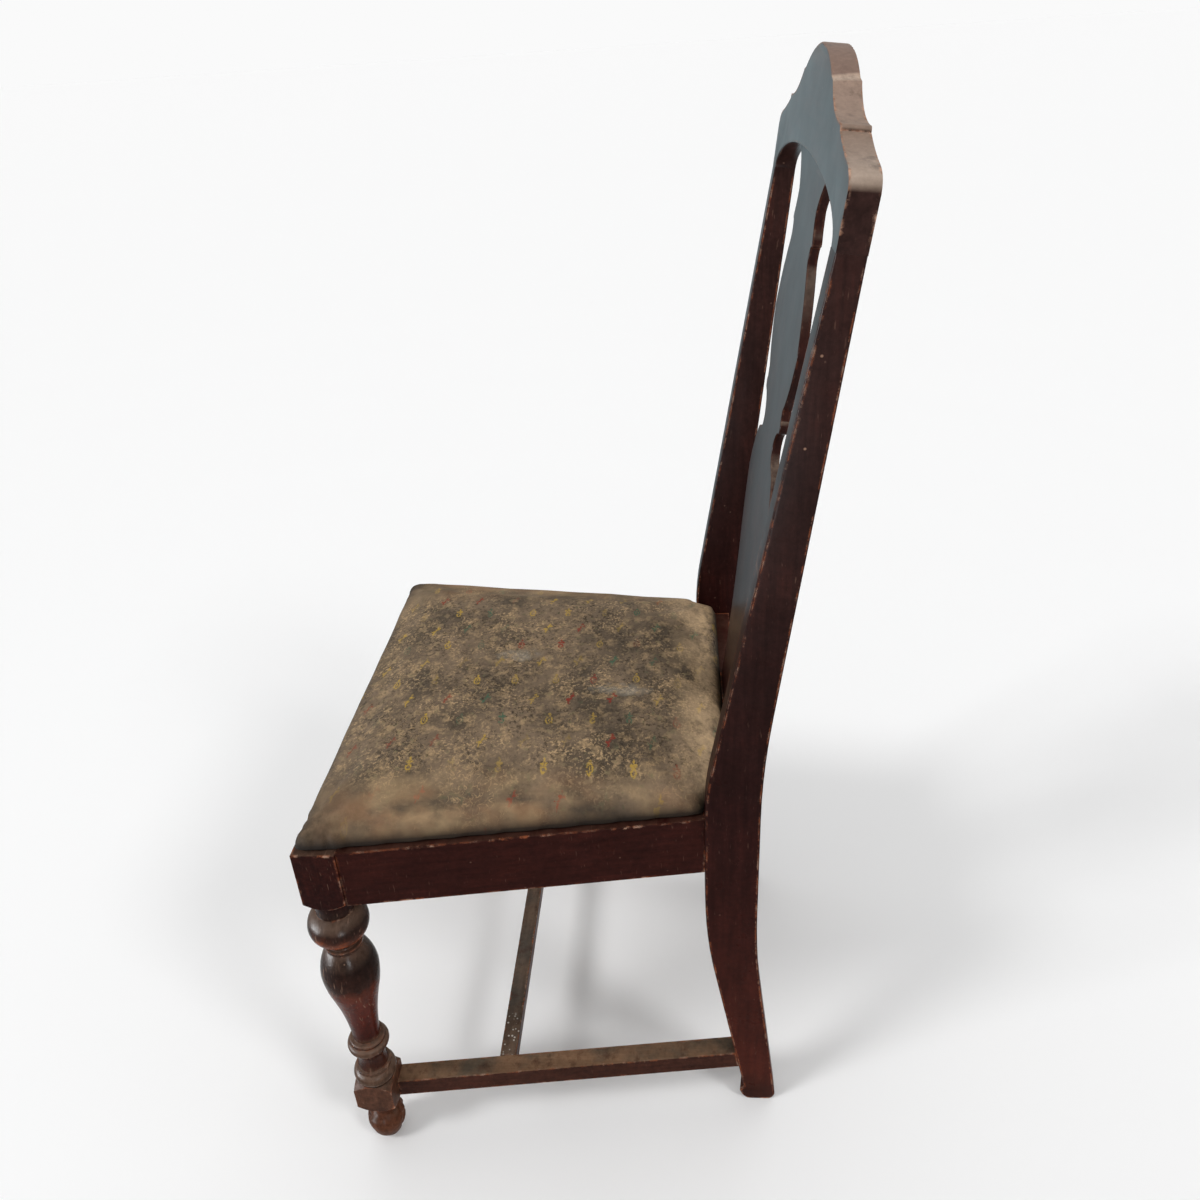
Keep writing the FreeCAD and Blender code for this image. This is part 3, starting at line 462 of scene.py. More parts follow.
def coarseCloth(name, thread, gap, period, turn=0.0, stripe=None):
    material, tree = startMaterial(name)
    coordinates = add(tree, "ShaderNodeTexCoord")
    where = placed(tree, coordinates.outputs["Object"], (1.0, 1.0, 1.0), (0.0, 0.0, turn))
    axes = add(tree, "ShaderNodeSeparateXYZ", {0: where})
    waves = [number(tree, "SINE", number(tree, "MULTIPLY", axes.outputs[i], 2 * math.pi / period)) for i in (0, 1)]
    weave = number(tree, "MULTIPLY", waves[0], waves[1])
    uneven = cloudy(tree, where, 220.0, 4.0)
    height = number(tree, "ADD", weave, uneven)
    low, high = paint(*gap), paint(*thread)
    if stripe:  # two woven lines near the strap's edges
        across = part(tree, coordinates.outputs["UV"], 0)
        off = number(tree, "ABSOLUTE", number(tree, "SUBTRACT", across, 0.5))
        inLine = times(tree, span(tree, off, 0.36, 0.37), span(tree, off, 0.43, 0.42))
        low = blendColour(tree, inLine, low, paint(*[c * 0.6 for c in stripe]))
        high = blendColour(tree, inLine, high, paint(*stripe))
    colour = blendColour(tree, span(tree, height, -0.4, 1.1), low, high)
    colour = shaded(tree, colour, span(tree, cloudy(tree, where, 25.0, 4.0), 0.3, 0.7, 0.8, 1.15))
    roughness = span(tree, uneven, 0.3, 0.7, 0.82, 0.96)
    return finishMaterial(material, tree, {"Base Color": colour, "Roughness": roughness, "Specular IOR Level": 0.2,
                                           "Normal": bumped(tree, height, 0.5, 0.0006)})


joineryX = joineryWood("joinery_wood_across", "X")
joineryY = joineryWood("joinery_wood_along", "Y")
steel = dullSteel("dull_steel")
strapCloth = coarseCloth("jute_webbing", (150, 124, 88), (98, 76, 50), 0.0035, stripe=(112, 48, 38))
sackCloth = coarseCloth("burlap_weave", (138, 112, 76), (80, 60, 38), 0.0026)
fibre = coarseCloth("padding_fibre", (196, 180, 150), (150, 132, 102), 0.0050, 0.6)
plain = {
    joineryX: ["left_front_corner_block", "right_front_corner_block", "left_rear_corner_block",
               "right_rear_corner_block", "front_seat_frame_rail", "rear_seat_frame_rail",
               "front_rail_dowels", "rear_rail_dowels", "crest_dowels"],
    joineryY: ["left_seat_frame_rail", "right_seat_frame_rail", "side_rail_dowels", "stretcher_dowels",
               "seat_frame_dowels"],
    steel: ["corner_block_screws", "slip_seat_screws", "cover_tacks"],
}
for material, names in plain.items():
    for nodeName in names:
        give(nodes[nodeName], material)
print("joinery and steel dressed")

# webbing: straps that pass over and under each other, with their ends flat on the seat frame
webbing = {"count": 4, "width": 0.050, "thickness": 0.0012, "rearHalf": 0.1722, "grid": (6, 120)}
lengthLow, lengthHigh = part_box("lengthwise_webbing")
crossLow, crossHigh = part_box("crosswise_webbing")
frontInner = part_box("front_seat_frame_rail")[1].y
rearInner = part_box("rear_seat_frame_rail")[0].y
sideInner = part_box("left_seat_frame_rail")[0].x
betweenStraps = lengthHigh.z
lift = webbing["thickness"] / 2


def evenly(low, high, count):
    first, last = low + webbing["width"] / 2, high - webbing["width"] / 2
    return [first + (last - first) * i / (count - 1) for i in range(count)]


strapX = evenly(lengthLow.x, lengthHigh.x, webbing["count"])
strapY = evenly(crossLow.y, crossHigh.y, webbing["count"])


def levelAt(keys, along):
    for (start, low), (end, high) in zip(keys, keys[1:]):
        if along <= end:
            share = max(0.0, (along - start) / (end - start))
            return low + (high - low) * (1 - math.cos(math.pi * share)) / 2
    return keys[-1][1]


def strap(start, end, keys, move, turn=0.0):
    deselect()
    bpy.ops.mesh.primitive_grid_add(x_subdivisions=webbing["grid"][0], y_subdivisions=webbing["grid"][1], size=1.0)
    piece = bpy.context.object
    piece.data.transform(Matrix.Diagonal((webbing["width"], end - start, 1.0, 1.0)))
    piece.data.transform(Matrix.Translation((0.0, (start + end) / 2, 0.0)))
    for v in piece.data.vertices:
        v.co.z = lift * levelAt(keys, v.co.y)
    piece.data.transform(Matrix.Rotation(turn, 4, "Z"))
    piece.data.transform(Matrix.Translation(move))
    return piece


def joinStraps(name, straps, *rests):
    deselect()
    for piece in straps:
        piece.select_set(True)
    bpy.context.view_layer.objects.active = straps[0]
    bpy.ops.object.join()
    piece = bpy.context.object
    piece.name = name
    piece.data.name = name
    thick = piece.modifiers.new("strap", "SOLIDIFY")
    thick.thickness = webbing["thickness"]
    thick.offset = 0
    applyModifier(piece, thick)
    bpy.ops.object.shade_smooth_by_angle(angle=math.radians(edges["sharpBeyond"]))
    give(piece, strapCloth)
    return piece


lengthStraps = []
for i, x in enumerate(strapX):
    keys = [(lengthLow.y, -1), (frontInner, -1)] + [(y, (-1) ** (i + j)) for j, y in enumerate(strapY)]
    keys += [(rearInner, -1), (lengthHigh.y, -1)]
    lengthStraps.append(strap(lengthLow.y, lengthHigh.y, keys, (x, 0.0, betweenStraps)))
crossStraps = []
for j, y in enumerate(strapY):
    half = crossHigh.x + (webbing["rearHalf"] - crossHigh.x) * j / (webbing["count"] - 1)
    keys = [(-half, -1), (-sideInner, -1)] + [(x, -(-1) ** (i + j)) for i, x in enumerate(strapX)]
    keys += [(sideInner, -1), (half, -1)]
    mirrored = [(-at, level) for at, level in reversed(keys)]  # a quarter turn takes +Y to -X
    crossStraps.append(strap(-half, half, mirrored, (0.0, y, betweenStraps), math.radians(90)))
lengthwise = joinStraps("lengthwise_straps", lengthStraps, "front_seat_frame_rail", "rear_seat_frame_rail")
settle(lengthwise, "webbing", "lengthwise_webbing")
crosswise = joinStraps("crosswise_straps", crossStraps, "left_seat_frame_rail", "right_seat_frame_rail")
settle(crosswise, "webbing", "crosswise_webbing")

# burlap laid over the straps, a little uneven
burlap = {"rearHalf": 0.1593, "thickness": 0.0008, "uneven": 0.0003, "unevenScale": 40.0, "grid": (90, 70)}
sackLow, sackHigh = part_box("seat_burlap")
deselect()
bpy.ops.mesh.primitive_grid_add(x_subdivisions=burlap["grid"][0], y_subdivisions=burlap["grid"][1], size=1.0)
sack = bpy.context.object
sack.name = "burlap_sheet"
sack.data.name = "burlap_sheet"
for v in sack.data.vertices:
    share = v.co.y + 0.5
    half = sackHigh.x + (burlap["rearHalf"] - sackHigh.x) * share
    v.co.x *= 2 * half
    v.co.y = sackLow.y + (sackHigh.y - sackLow.y) * share
    v.co.z = sackLow.z + burlap["thickness"] / 2 + burlap["uneven"] * noise.noise(v.co * burlap["unevenScale"])
thick = sack.modifiers.new("cloth wall", "SOLIDIFY")
thick.thickness = burlap["thickness"]
thick.offset = 0
applyModifier(sack, thick)
bpy.ops.object.shade_smooth_by_angle(angle=math.radians(edges["sharpBeyond"]))
give(sack, sackCloth)
settle(sack, "burlap", "seat_burlap")
print("webbing and burlap laid")

# worn seat cloth with small woven motifs
cloth = {
    "deep": (48, 41, 34), "dark": (82, 71, 59), "body": (121, 103, 84), "tan": (184, 155, 117),
    "cream": (210, 179, 140), "pale": (176, 168, 152), "frayed": (182, 152, 112), "rust": (148, 111, 81),
    # grime is the colour of the painted shade at the foot of the sides; deep also serves as the painted shade round
    # the front corners
    "grime": (30, 23, 19), "moss": (76, 82, 62), "yellow": (176, 144, 66), "red": (130, 50, 40), "green": (66, 92, 72),
    "across": 0.043, "along": 0.034, "motifHalfWidth": 0.0046, "motifHalfLength": 0.0105, "thread": 0.0011,
    "darkCorners": [(0.224, -0.228, 0.440), (-0.224, -0.228, 0.440)], "footLevels": (0.4520, 0.4370),
    "smudges": [(-0.030, -0.065, 0.011, 0.020), (0.037, 0.053, 0.010, 0.026)],
    "blotchScale": 13.0, "midScale": 75.0, "fineScale": 300.0, "speckScale": 230.0, "bareScale": 19.0,
    "soilScale": 21.0, "ridgeScale": 130.0, "frayScale": 17.0, "mossScale": 150.0, "wobbleScale": 420.0,
    "fadeScale": 240.0,
}


def seatCloth():
    material, tree = startMaterial("worn_seat_cloth")
    where = add(tree, "ShaderNodeTexCoord").outputs["Object"]
    x, y, z = add(tree, "ShaderNodeSeparateXYZ", {0: where}).outputs
    offMiddle = number(tree, "ABSOLUTE", x)
    blotch = cloudy(tree, where, cloth["blotchScale"], 6.0, 0.65, 0.3)
    mid = cloudy(tree, where, cloth["midScale"], 5.0, 0.65)
    fine = cloudy(tree, where, cloth["fineScale"], 4.0, 0.7)
    moved = placed(tree, where, (1.0, 1.0, 1.0), shift=(7.3, 1.9, 4.1))
    other = cloudy(tree, moved, cloth["speckScale"], 4.0, 0.7)
    colour = blendColour(tree, span(tree, blotch, 0.4, 0.6), paint(*cloth["dark"]), paint(*cloth["body"]))
    # light and dark specks of worn pile, fewer along the sides
    inward = span(tree, offMiddle, 0.19, 0.14, 0.2, 1.0)
    light = times(tree, span(tree, mid, 0.5, 0.68, 0.0, 0.6), inward)
    colour = blendColour(tree, light, colour, paint(*cloth["tan"]))
    threadbare = span(tree, cloudy(tree, where, cloth["bareScale"], 6.0, 0.7), 0.46, 0.6, 0.08, 1.0)
    soiled = span(tree, cloudy(tree, where, cloth["soilScale"], 5.0, 0.7), 0.4, 0.6, 0.25, 0.85)
    dark = times(tree, span(tree, other, 0.5, 0.62), soiled, inward)
    colour = blendColour(tree, dark, colour, paint(*cloth["deep"]))
    bare = times(tree, span(tree, fine, 0.53, 0.6), threadbare, inward, 0.8)
    colour = blendColour(tree, bare, colour, paint(*cloth["tan"]))
    waver = cloudy(tree, where, cloth["ridgeScale"], 2.0, 0.5, 0.8)
    ridge = number(tree, "ABSOLUTE", number(tree, "SUBTRACT", waver, 0.5))
    frayedHere = span(tree, cloudy(tree, where, cloth["frayScale"], 5.0, 0.7, 0.4), 0.5, 0.6)
    frayed = times(tree, span(tree, ridge, 0.028, 0.008), frayedHere, 0.55)
    colour = blendColour(tree, frayed, colour, paint(*cloth["frayed"]))
    mossy = times(tree, span(tree, cloudy(tree, where, cloth["mossScale"], 4.0), 0.6, 0.68), 0.45)
    colour = blendColour(tree, mossy, colour, paint(*cloth["moss"]))
    # motifs stand in rows, every other row moved by half a step
    rowAt = number(tree, "DIVIDE", x, cloth["along"])
    row = number(tree, "FLOOR", rowAt)
    odd = number(tree, "FLOORED_MODULO", row, 2.0)
    columnAt = number(tree, "ADD", number(tree, "DIVIDE", y, cloth["across"]), number(tree, "MULTIPLY", odd, 0.5))
    column = number(tree, "FLOOR", columnAt)
    cell = add(tree, "ShaderNodeCombineXYZ", {0: row, 1: column}).outputs[0]
    luck = add(tree, "ShaderNodeTexWhiteNoise", {"Vector": cell}, noise_dimensions="3D")
    luckParts = add(tree, "ShaderNodeSeparateColor", {0: luck.outputs["Color"]}).outputs
    wobble = times(tree, number(tree, "SUBTRACT", cloudy(tree, where, cloth["wobbleScale"], 2.0), 0.5), 0.8)
    u = number(tree, "SUBTRACT", number(tree, "SUBTRACT", columnAt, column), 0.5)
    u = number(tree, "ADD", u, number(tree, "MULTIPLY", number(tree, "SUBTRACT", luckParts[0], 0.5), 0.2))
    u = number(tree, "ADD", number(tree, "MULTIPLY", u, cloth["across"] / cloth["motifHalfWidth"]), wobble)
    v = number(tree, "SUBTRACT", number(tree, "SUBTRACT", rowAt, row), 0.5)
    v = number(tree, "ADD", number(tree, "MULTIPLY", v, cloth["along"] / cloth["motifHalfLength"]), wobble)

    def oval(centreU, centreV, halfU, halfV):
        du = number(tree, "DIVIDE", number(tree, "SUBTRACT", u, centreU), halfU)
        dv = number(tree, "DIVIDE", number(tree, "SUBTRACT", v, centreV), halfV)
        return number(tree, "SQRT", number(tree, "ADD", times(tree, du, du), times(tree, dv, dv)))

    def inside(distance, edge=1.0):
        return span(tree, distance, edge + 0.12, edge - 0.12)

    def either(first, second):
        return number(tree, "MAXIMUM", first, second)

    budBody = number(tree, "SUBTRACT", inside(oval(0.0, 0.15, 0.8, 0.62)), inside(oval(0.0, 0.15, 0.5, 0.42)))
    bud = either(budBody, either(inside(oval(0.0, -0.72, 0.3, 0.2)), inside(oval(0.0, 0.1, 0.18, 0.22))))
    slant = number(tree, "ABSOLUTE", number(tree, "SUBTRACT", u, number(tree, "MULTIPLY", v, -0.6)))
    stem = times(tree, span(tree, slant, 0.3, 0.16), inside(oval(0.0, 0.0, 1.2, 0.95)))
    sprig = either(stem, either(inside(oval(-0.6, 0.2, 0.5, 0.16)), inside(oval(0.65, -0.3, 0.5, 0.16))))
    post = either(number(tree, "SUBTRACT", inside(oval(0.0, 0.35, 0.66, 0.44)), inside(oval(0.0, 0.38, 0.34, 0.22))),
                  inside(oval(0.0, -0.32, 0.85, 0.2)))
    post = either(post, inside(oval(0.0, -0.75, 0.2, 0.25)))
    isPost = times(tree, span(tree, luckParts[1], 0.55, 0.56), number(tree, "SUBTRACT", 1.0, odd))
    isBud = number(tree, "SUBTRACT", number(tree, "SUBTRACT", 1.0, odd), isPost)
    motif = number(tree, "ADD", times(tree, bud, isBud), times(tree, sprig, odd))
    motif = number(tree, "ADD", motif, times(tree, post, isPost))
    tone = luck.outputs["Value"]
    motifColour = blendColour(tree, span(tree, tone, 0.42, 0.43), paint(*cloth["yellow"]), paint(*cloth["red"]))
    motifColour = blendColour(tree, span(tree, tone, 0.68, 0.69), motifColour, paint(*cloth["green"]))
    left = span(tree, cloudy(tree, where, cloth["fadeScale"], 3.0), 0.34, 0.5)
    stronger = span(tree, luckParts[2], 0.05, 0.7, 0.2, 0.92)
    colour = blendColour(tree, times(tree, motif, left, stronger), colour, motifColour)
    # dusty, faded edges: the two sides, the rear and a little of the front
    drift = span(tree, cloudy(tree, placed(tree, where, (34.0, 17.0, 11.0)), 1.0, 4.0, 0.55), 0.34, 0.6)
    sides = times(tree, span(tree, offMiddle, 0.15, 0.212), drift, span(tree, y, -0.23, -0.17, 0.35, 0.85))
    patch = cloudy(tree, placed(tree, where, (26.0, 22.0, 20.0), shift=(2.2, 5.1, 0.0)), 1.0, 3.0, 0.5)
    sideTone = blendColour(tree, span(tree, patch, 0.4, 0.6), paint(*cloth["rust"]), paint(*cloth["tan"]))
    colour = blendColour(tree, sides, colour, sideTone)
    patchy = span(tree, cloudy(tree, placed(tree, where, (15.0, 21.0, 15.0)), 1.0, 5.0, 0.58), 0.4, 0.62)
    worn = cloudy(tree, placed(tree, where, (13.0, 17.0, 13.0), shift=(3.1, 0.7, 0.0)), 1.0, 6.0, 0.62)
    worn = span(tree, worn, 0.42, 0.6)
    rear = times(tree, span(tree, y, 0.095, 0.145), worn, span(tree, fine, 0.36, 0.6, 0.74, 0.94))
    colour = blendColour(tree, rear, colour, paint(*cloth["cream"]))
    ahead = times(tree, span(tree, y, -0.165, -0.23), patchy, 0.2)
    colour = blendColour(tree, ahead, colour, paint(*cloth["tan"]))
    # pale smudges, painted shade round the front corners, then painted shade at the foot of the sides, where the cloth
    # meets the rail
    ragged = number(tree, "MULTIPLY", number(tree, "SUBTRACT", mid, 0.5), 7.0)
    for centreX, centreY, halfX, halfY in cloth["smudges"]:
        offX = number(tree, "DIVIDE", number(tree, "SUBTRACT", x, centreX), halfX)
        offY = number(tree, "DIVIDE", number(tree, "SUBTRACT", y, centreY), halfY)
        off = number(tree, "ADD", times(tree, offX, offX), times(tree, offY, offY))
        smudge = span(tree, number(tree, "ADD", off, ragged), 1.4, 0.0, 0.0, 0.42)
        smudge = times(tree, smudge, span(tree, fine, 0.36, 0.56, 0.35, 1.0))
        colour = blendColour(tree, smudge, colour, paint(*cloth["pale"]))
    # painted shade round the two front corners, where the cloth is folded and creased
    for corner in cloth["darkCorners"]:
        near = span(tree, away(tree, where, corner), 0.06, 0.012)
        cornerShade = times(tree, near, span(tree, mid, 0.35, 0.6, 0.3, 0.75))
        colour = blendColour(tree, cornerShade, colour, paint(*cloth["deep"]))
    # painted shade: a dark band at the foot of the sides, where the cloth meets the rail
    foot = span(tree, z, *cloth["footLevels"])
    colour = blendColour(tree, number(tree, "MULTIPLY", foot, 0.95), colour, paint(*cloth["grime"]))
    waves = [number(tree, "SINE", number(tree, "MULTIPLY", a, 2 * math.pi / cloth["thread"])) for a in (x, y)]
    weave = number(tree, "MULTIPLY", waves[0], waves[1])
    normal = bumped(tree, weave, 0.25, 0.0003)
    normal = bumped(tree, fine, 0.35, 0.0010, normal)
    roughness = span(tree, mid, 0.3, 0.7, 0.75, 0.95)
    return finishMaterial(material, tree, {"Base Color": colour, "Roughness": roughness, "Normal": normal,
                                           "Specular IOR Level": 0.05})


# slip seat: a closed form puffed by a cloth run, then opened below and given the cloth's thickness
slipSeat = {
    "voxel": 0.005, "smoothTimes": 3, "notchSize": 0.1, "postGap": 0.003,
    "pressure": 4.0, "frames": 20, "quality": 6, "mass": 0.3, "stiffness": 20, "bending": 1.5,
    "mostMove": 0.0022, "heldBelow": 0.006,
    "edgeHeight": 0.011, "edgeOut": 0.0026, "edgeRamp": 1.6, "edgeDown": 0.8,
    "rearOut": 0.0026, "rearRamp": 2.5, "rearFacing": 0.2, "splatGap": 0.0004,
    "cornerInset": 0.020, "cornerSquare": 0.85, "cornerAhead": 0.0035, "cornerHeight": 0.030, "cornerTop": 0.25,
    "lump": 0.0011, "lumpScale": 22.0,
    "foldDepth": 0.0017, "foldCount": 10, "foldReach": 0.034, "foldHeight": 0.021, "foldFrom": 0.08, "foldSteep": 0.75,
    "tuck": 0.030, "openBelow": 0.003, "thickness": 0.0011,
}


def evenNet(piece, voxel, smoothTimes):  # even quads all round, a little rounder than before
    net = piece.modifiers.new("even net", "REMESH")
    net.mode = "VOXEL"
    net.voxel_size = voxel
    applyModifier(piece, net)
    rounding = piece.modifiers.new("rounding", "SMOOTH")
    rounding.factor = 0.5
    rounding.iterations = smoothTimes
    applyModifier(piece, rounding)


cushion = mergedCopy("seat_cover", "seat_cushion")
bpy.ops.object.mode_set(mode="EDIT")
bpy.ops.mesh.select_all(action="SELECT")
bpy.ops.mesh.convex_hull()
bpy.ops.object.mode_set(mode="OBJECT")
seatLow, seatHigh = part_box("seat_cover")
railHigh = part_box("rear_seat_rail")[1]
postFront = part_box("left_rear_post")[0].y
for side in (1, -1):
    deselect()
    bpy.ops.mesh.primitive_cube_add(size=slipSeat["notchSize"])
    notch = bpy.context.object
    inset = slipSeat["notchSize"] / 2 - slipSeat["postGap"]
    notch.data.transform(Matrix.Translation((side * (railHigh.x + inset), postFront + inset, seatLow.z)))
    cut = cushion.modifiers.new("post notch", "BOOLEAN")
    cut.object = notch
    cut.operation = "DIFFERENCE"
    cut.solver = "EXACT"
    applyModifier(cushion, cut)
    bpy.data.objects.remove(notch)
evenNet(cushion, slipSeat["voxel"], slipSeat["smoothTimes"])

before = [v.co.copy() for v in cushion.data.vertices]
outside = normalsOf(cushion)
held = cushion.vertex_groups.new(name="held")
for v in cushion.data.vertices:
    if v.co.z < seatLow.z + slipSeat["heldBelow"]:
        held.add([v.index], 1.0, "REPLACE")
puff = cushion.modifiers.new("puff", "CLOTH")
puff.settings.quality = slipSeat["quality"]
puff.settings.mass = slipSeat["mass"]
puff.settings.tension_stiffness = slipSeat["stiffness"]
puff.settings.compression_stiffness = slipSeat["stiffness"]
puff.settings.bending_stiffness = slipSeat["bending"]
puff.settings.use_pressure = True
puff.settings.uniform_pressure_force = slipSeat["pressure"]
puff.settings.vertex_group_mass = "held"
puff.settings.effector_weights.gravity = 0
puff.point_cache.frame_end = slipSeat["frames"]
for step in range(1, slipSeat["frames"] + 1):
    bpy.context.scene.frame_set(step)
applyModifier(cushion, puff)
bpy.context.scene.frame_set(1)
for v, start, normal in zip(cushion.data.vertices, before, outside):
    swell = (v.co - start).dot(normal)
    v.co = start + normal * min(max(swell, 0.0), slipSeat["mostMove"])
print("slip seat puffed")

# the cloth is pulled tight round the wooden frame, so the lower edge is crisper than the top
pick(cushion)
for v, normal in zip(cushion.data.vertices, normalsOf(cushion)):
    rise = v.co.z - seatLow.z
    pull = 1 - rise / slipSeat["edgeHeight"]
    if pull > 0:
        v.co += Vector((normal.x, normal.y, 0.0)) * slipSeat["edgeOut"] * min(1.0, slipSeat["edgeRamp"] * pull)
        if normal.y > slipSeat["rearFacing"]:  # it lies on the rear rail
            v.co.y += slipSeat["rearOut"] * min(1.0, slipSeat["rearRamp"] * pull)
        v.co.z -= rise * slipSeat["edgeDown"] * pull

# the front corners are folded square over the leg blocks, most at their foot
for v in cushion.data.vertices:
    side = 1 if v.co.x > 0 else -1
    offX = side * v.co.x - seatHigh.x + slipSeat["cornerInset"]
    offY = seatLow.y + slipSeat["cornerInset"] - v.co.y
    if offX > 0 and offY > 0:
        low = max(0.0, 1 - (v.co.z - seatLow.z) / slipSeat["cornerHeight"])
        share = slipSeat["cornerSquare"] * (slipSeat["cornerTop"] + (1 - slipSeat["cornerTop"]) * low)
        squarer = (math.hypot(offX, offY) / max(offX, offY) - 1) * share
        ahead = slipSeat["cornerAhead"] * low * min(1.0, 2 * min(offX, offY) / slipSeat["cornerInset"])
        v.co.x += side * offX * squarer
        v.co.y -= offY * squarer + ahead

# uneven stuffing, and gathers where the cloth is pulled round the front corners
for v, normal in zip(cushion.data.vertices, normalsOf(cushion)):
    if v.co.z > seatLow.z + slipSeat["heldBelow"]:
        v.co += normal * slipSeat["lump"] * noise.noise(v.co * slipSeat["lumpScale"])
    side = 1 if v.co.x > 0 else -1
    inset = slipSeat["cornerInset"]
    off = v.co - Vector((side * (seatHigh.x - inset), seatLow.y + inset, v.co.z))
    low = (v.co.z - seatLow.z) / slipSeat["foldHeight"]
    onSide = slipSeat["foldFrom"] < low < 1 and normal.z < slipSeat["foldSteep"]
    if off.length < slipSeat["foldReach"] and onSide:
        turn = math.atan2(off.y, side * off.x)
        fade = math.sin(math.pi * low) * (1 - (off.length / slipSeat["foldReach"]) ** 4)
        v.co += normal * slipSeat["foldDepth"] * fade * math.sin(slipSeat["foldCount"] * turn)

# it stops short of the splat
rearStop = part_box("back_splat")[0].y - slipSeat["splatGap"]
for v in cushion.data.vertices:
    v.co.y = min(v.co.y, rearStop)

# open below, inside the tucked edge
bpy.ops.object.mode_set(mode="EDIT")
bpy.ops.mesh.select_mode(type="FACE")
bpy.ops.mesh.select_all(action="DESELECT")
bpy.ops.object.mode_set(mode="OBJECT")
frontFrameY = seatLow.y + slipSeat["tuck"]
rearFrameY = seatHigh.y - slipSeat["tuck"]
frontHalf = seatHigh.x - slipSeat["tuck"]
rearHalf = railHigh.x - slipSeat["tuck"]
for face in cushion.data.polygons:
    middle = face.center
    share = (middle.y - frontFrameY) / (rearFrameY - frontFrameY)
    half = frontHalf + (rearHalf - frontHalf) * share
    face.select = middle.z < seatLow.z + slipSeat["openBelow"] and 0 < share < 1 and abs(middle.x) < half
bpy.ops.object.mode_set(mode="EDIT")
bpy.ops.mesh.delete(type="FACE")
bpy.ops.object.mode_set(mode="OBJECT")
wall = cushion.modifiers.new("cloth wall", "SOLIDIFY")
wall.thickness = slipSeat["thickness"]
wall.offset = -1
applyModifier(cushion, wall)
finer = cushion.modifiers.new("finer", "SUBSURF")
finer.levels = 1
finer.render_levels = 1
applyModifier(cushion, finer)
bpy.ops.object.shade_smooth()
give(cushion, seatCloth())
settle(cushion, "seat_cloth", "seat_cover")

# the fibre pad inside
fibrePad = {"voxel": 0.006, "smoothTimes": 4, "slack": 0.0010}
pad = mergedCopy("seat_padding", "fibre_pad")
evenNet(pad, fibrePad["voxel"], fibrePad["smoothTimes"])
padSlack = pad.modifiers.new("slack", "DISPLACE")
padSlack.strength = -fibrePad["slack"]
padSlack.mid_level = 0.0
applyModifier(pad, padSlack)
bpy.ops.object.shade_smooth()
give(pad, fibre)
settle(pad, "padding", "seat_padding")
print("slip seat dressed")

# camera where the picture was taken from
picture = {
    "place": (0.879831, 0.115260, 1.071522),
    "right": (-0.0759422, 0.9952552, -0.0608261), "up": (-0.4780512, 0.0171926, 0.8781637),
    "focalPixels": 997.81, "middle": (586.08, 565.10), "side": 1200.0, "sensor": 36.0,
}
deselect()
bpy.ops.object.camera_add()
camera = bpy.context.object
right = Vector(picture["right"])
up = Vector(picture["up"])
turn = Matrix((right, up, right.cross(up))).transposed()
camera.matrix_world = Matrix.Translation(picture["place"]) @ turn.to_4x4()
camera.data.sensor_width = picture["sensor"]
camera.data.lens = picture["focalPixels"] / picture["side"] * picture["sensor"]
camera.data.shift_x = (picture["side"] / 2 - picture["middle"][0]) / picture["side"]
camera.data.shift_y = (picture["middle"][1] - picture["side"] / 2) / picture["side"]
camera.data.clip_start = 0.01
bpy.context.scene.camera = camera

# plain studio: pale floor, soft lamps, and cards that only reflections see
studio = {
    "floor": 120.0, "floorDrop": 0.0004, "floorTone": 0.94, "ambient": 0.52, "skyTone": 0.956,
    "lamps": {
        "window_front": ((0.9, -1.5, 1.7), 1.0, 14.0),
        "window_rear": ((1.1, 1.4, 1.5), 0.75, 14.0),
        "ceiling": ((-0.3, -0.1, 1.0), 0.45, 60.0),
    },
    "cards": {
        "dim_wall": ((-0.95, -0.1, 1.0), (3.0, 2.4), (0.9, 0.0), (0.42, 0.52, 0.55), (0.72, 0.95, 1.02)),
        "front_pane": ((0.85, -2.1, 0.5), (1.2, 0.7), (0.9, 0.1), (95.0, 99.0, 102.0), (95.0, 99.0, 102.0)),
        "side_pane": ((0.93, 0.11, 0.41), (0.13, 0.17), (0.8, 0.2), (80.0, 83.0, 86.0), (80.0, 83.0, 86.0)),
    },
}
deselect()
bpy.ops.mesh.primitive_plane_add(size=studio["floor"])
floor = bpy.context.object
floor.name = "studio_floor"
floor.data.transform(Matrix.Translation((0.0, 0.0, -studio["floorDrop"])))
floorMaterial, floorTree = startMaterial("studio_floor")
finishMaterial(floorMaterial, floorTree, {"Base Color": (studio["floorTone"],) * 3 + (1.0,), "Roughness": 0.9,
                                          "Specular IOR Level": 0.1})
give(floor, floorMaterial)
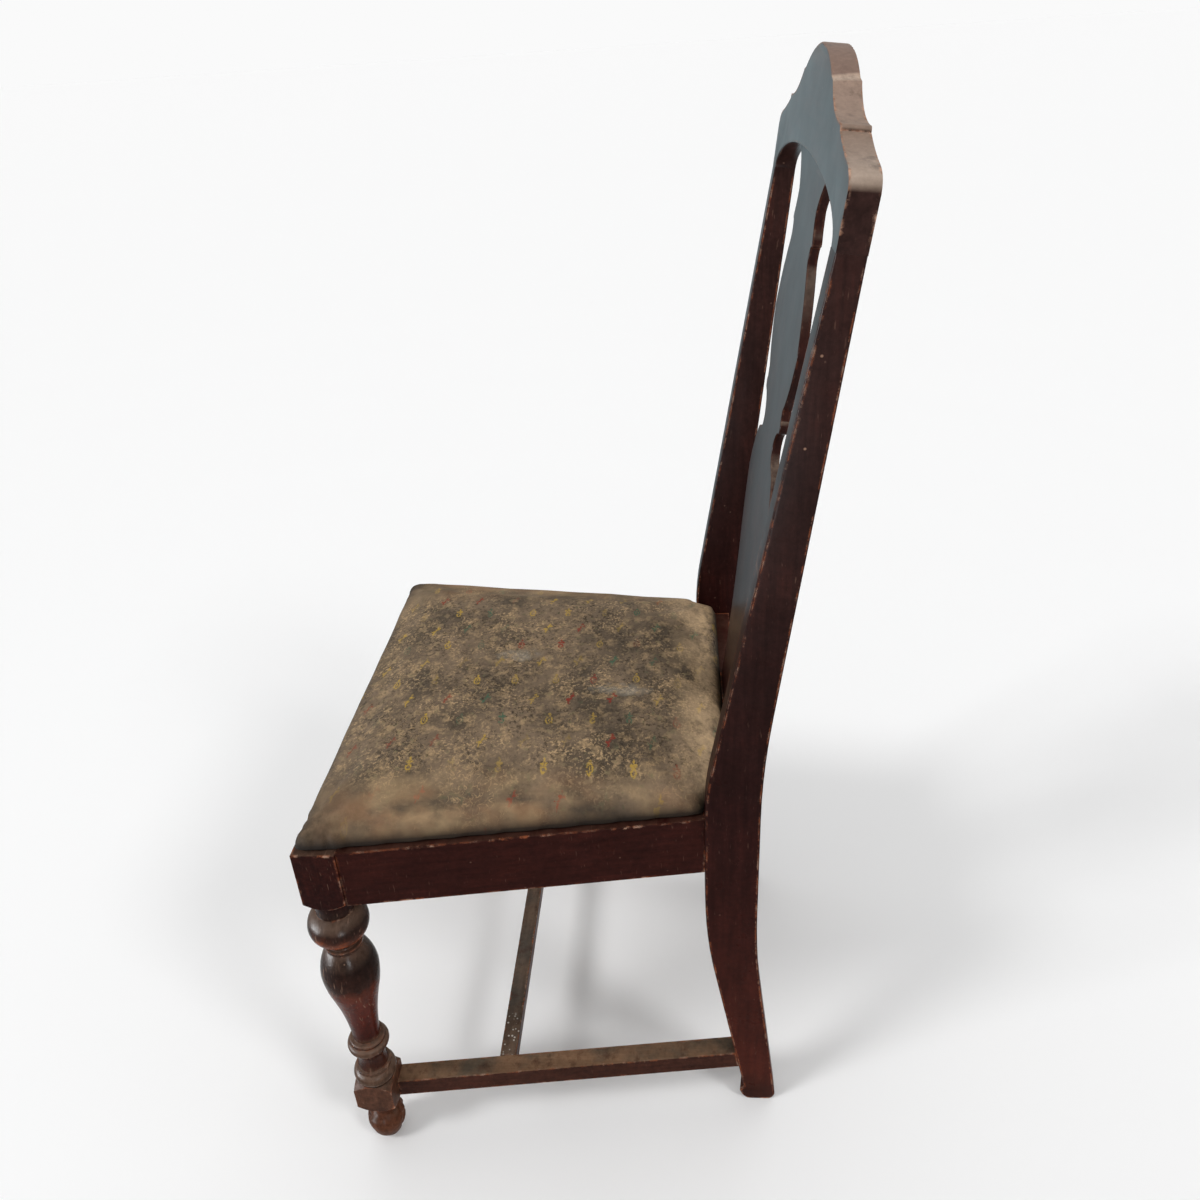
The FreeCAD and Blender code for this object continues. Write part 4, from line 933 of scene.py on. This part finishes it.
floor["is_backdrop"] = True

for name, (place, (width, height), (topAt, lowAt), lowTone, topTone) in studio["cards"].items():
    deselect()
    bpy.ops.mesh.primitive_plane_add(size=1.0)
    card = bpy.context.object
    card.name = name
    aim = Vector((0.0, 0.0, place[2])) - Vector(place)
    card.data.transform(Matrix.Diagonal((width, height, 1.0, 1.0)))
    card.data.transform(aim.to_track_quat("-Z", "Y").to_matrix().to_4x4())
    card.data.transform(Matrix.Translation(place))
    card.visible_camera = False
    card.visible_diffuse = False
    card.visible_shadow = False
    cardMaterial, cardTree = startMaterial(name)
    cardPlace = add(cardTree, "ShaderNodeTexCoord").outputs["Object"]
    upward = span(cardTree, part(cardTree, cardPlace, 2), lowAt, topAt)
    cardTone = blendColour(cardTree, upward, lowTone + (1.0,), topTone + (1.0,))
    cardGlow = add(cardTree, "ShaderNodeEmission", {"Color": cardTone, "Strength": 1.0})
    add(cardTree, "ShaderNodeOutputMaterial", {0: cardGlow.outputs[0]})
    give(card, cardMaterial)
    card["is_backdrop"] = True

for name, (place, power, spread) in studio["lamps"].items():
    deselect()
    bpy.ops.object.light_add(type="SUN", location=place)
    lamp = bpy.context.object
    lamp.name = name
    lamp.data.energy = power
    lamp.data.angle = math.radians(spread)
    lamp.rotation_euler = (-Vector(place)).to_track_quat("-Z", "Y").to_euler()

world = bpy.data.worlds.new("studio")
bpy.context.scene.world = world
world.use_nodes = True
world.node_tree.nodes.clear()
sky = world.node_tree
rays = add(sky, "ShaderNodeLightPath")
seen = number(sky, "MAXIMUM", rays.outputs["Is Camera Ray"], rays.outputs["Is Glossy Ray"])
seen = number(sky, "MAXIMUM", seen, rays.outputs["Is Transmission Ray"])
glow = add(sky, "ShaderNodeBackground", {"Strength": span(sky, seen, 0.0, 1.0, studio["ambient"], 1.0)})
glow.inputs["Color"].default_value = (studio["skyTone"],) * 3 + (1.0,)
add(sky, "ShaderNodeOutputWorld", {0: glow.outputs[0]})
bpy.context.scene.view_settings.view_transform = "Standard"
print("studio set")

low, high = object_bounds()
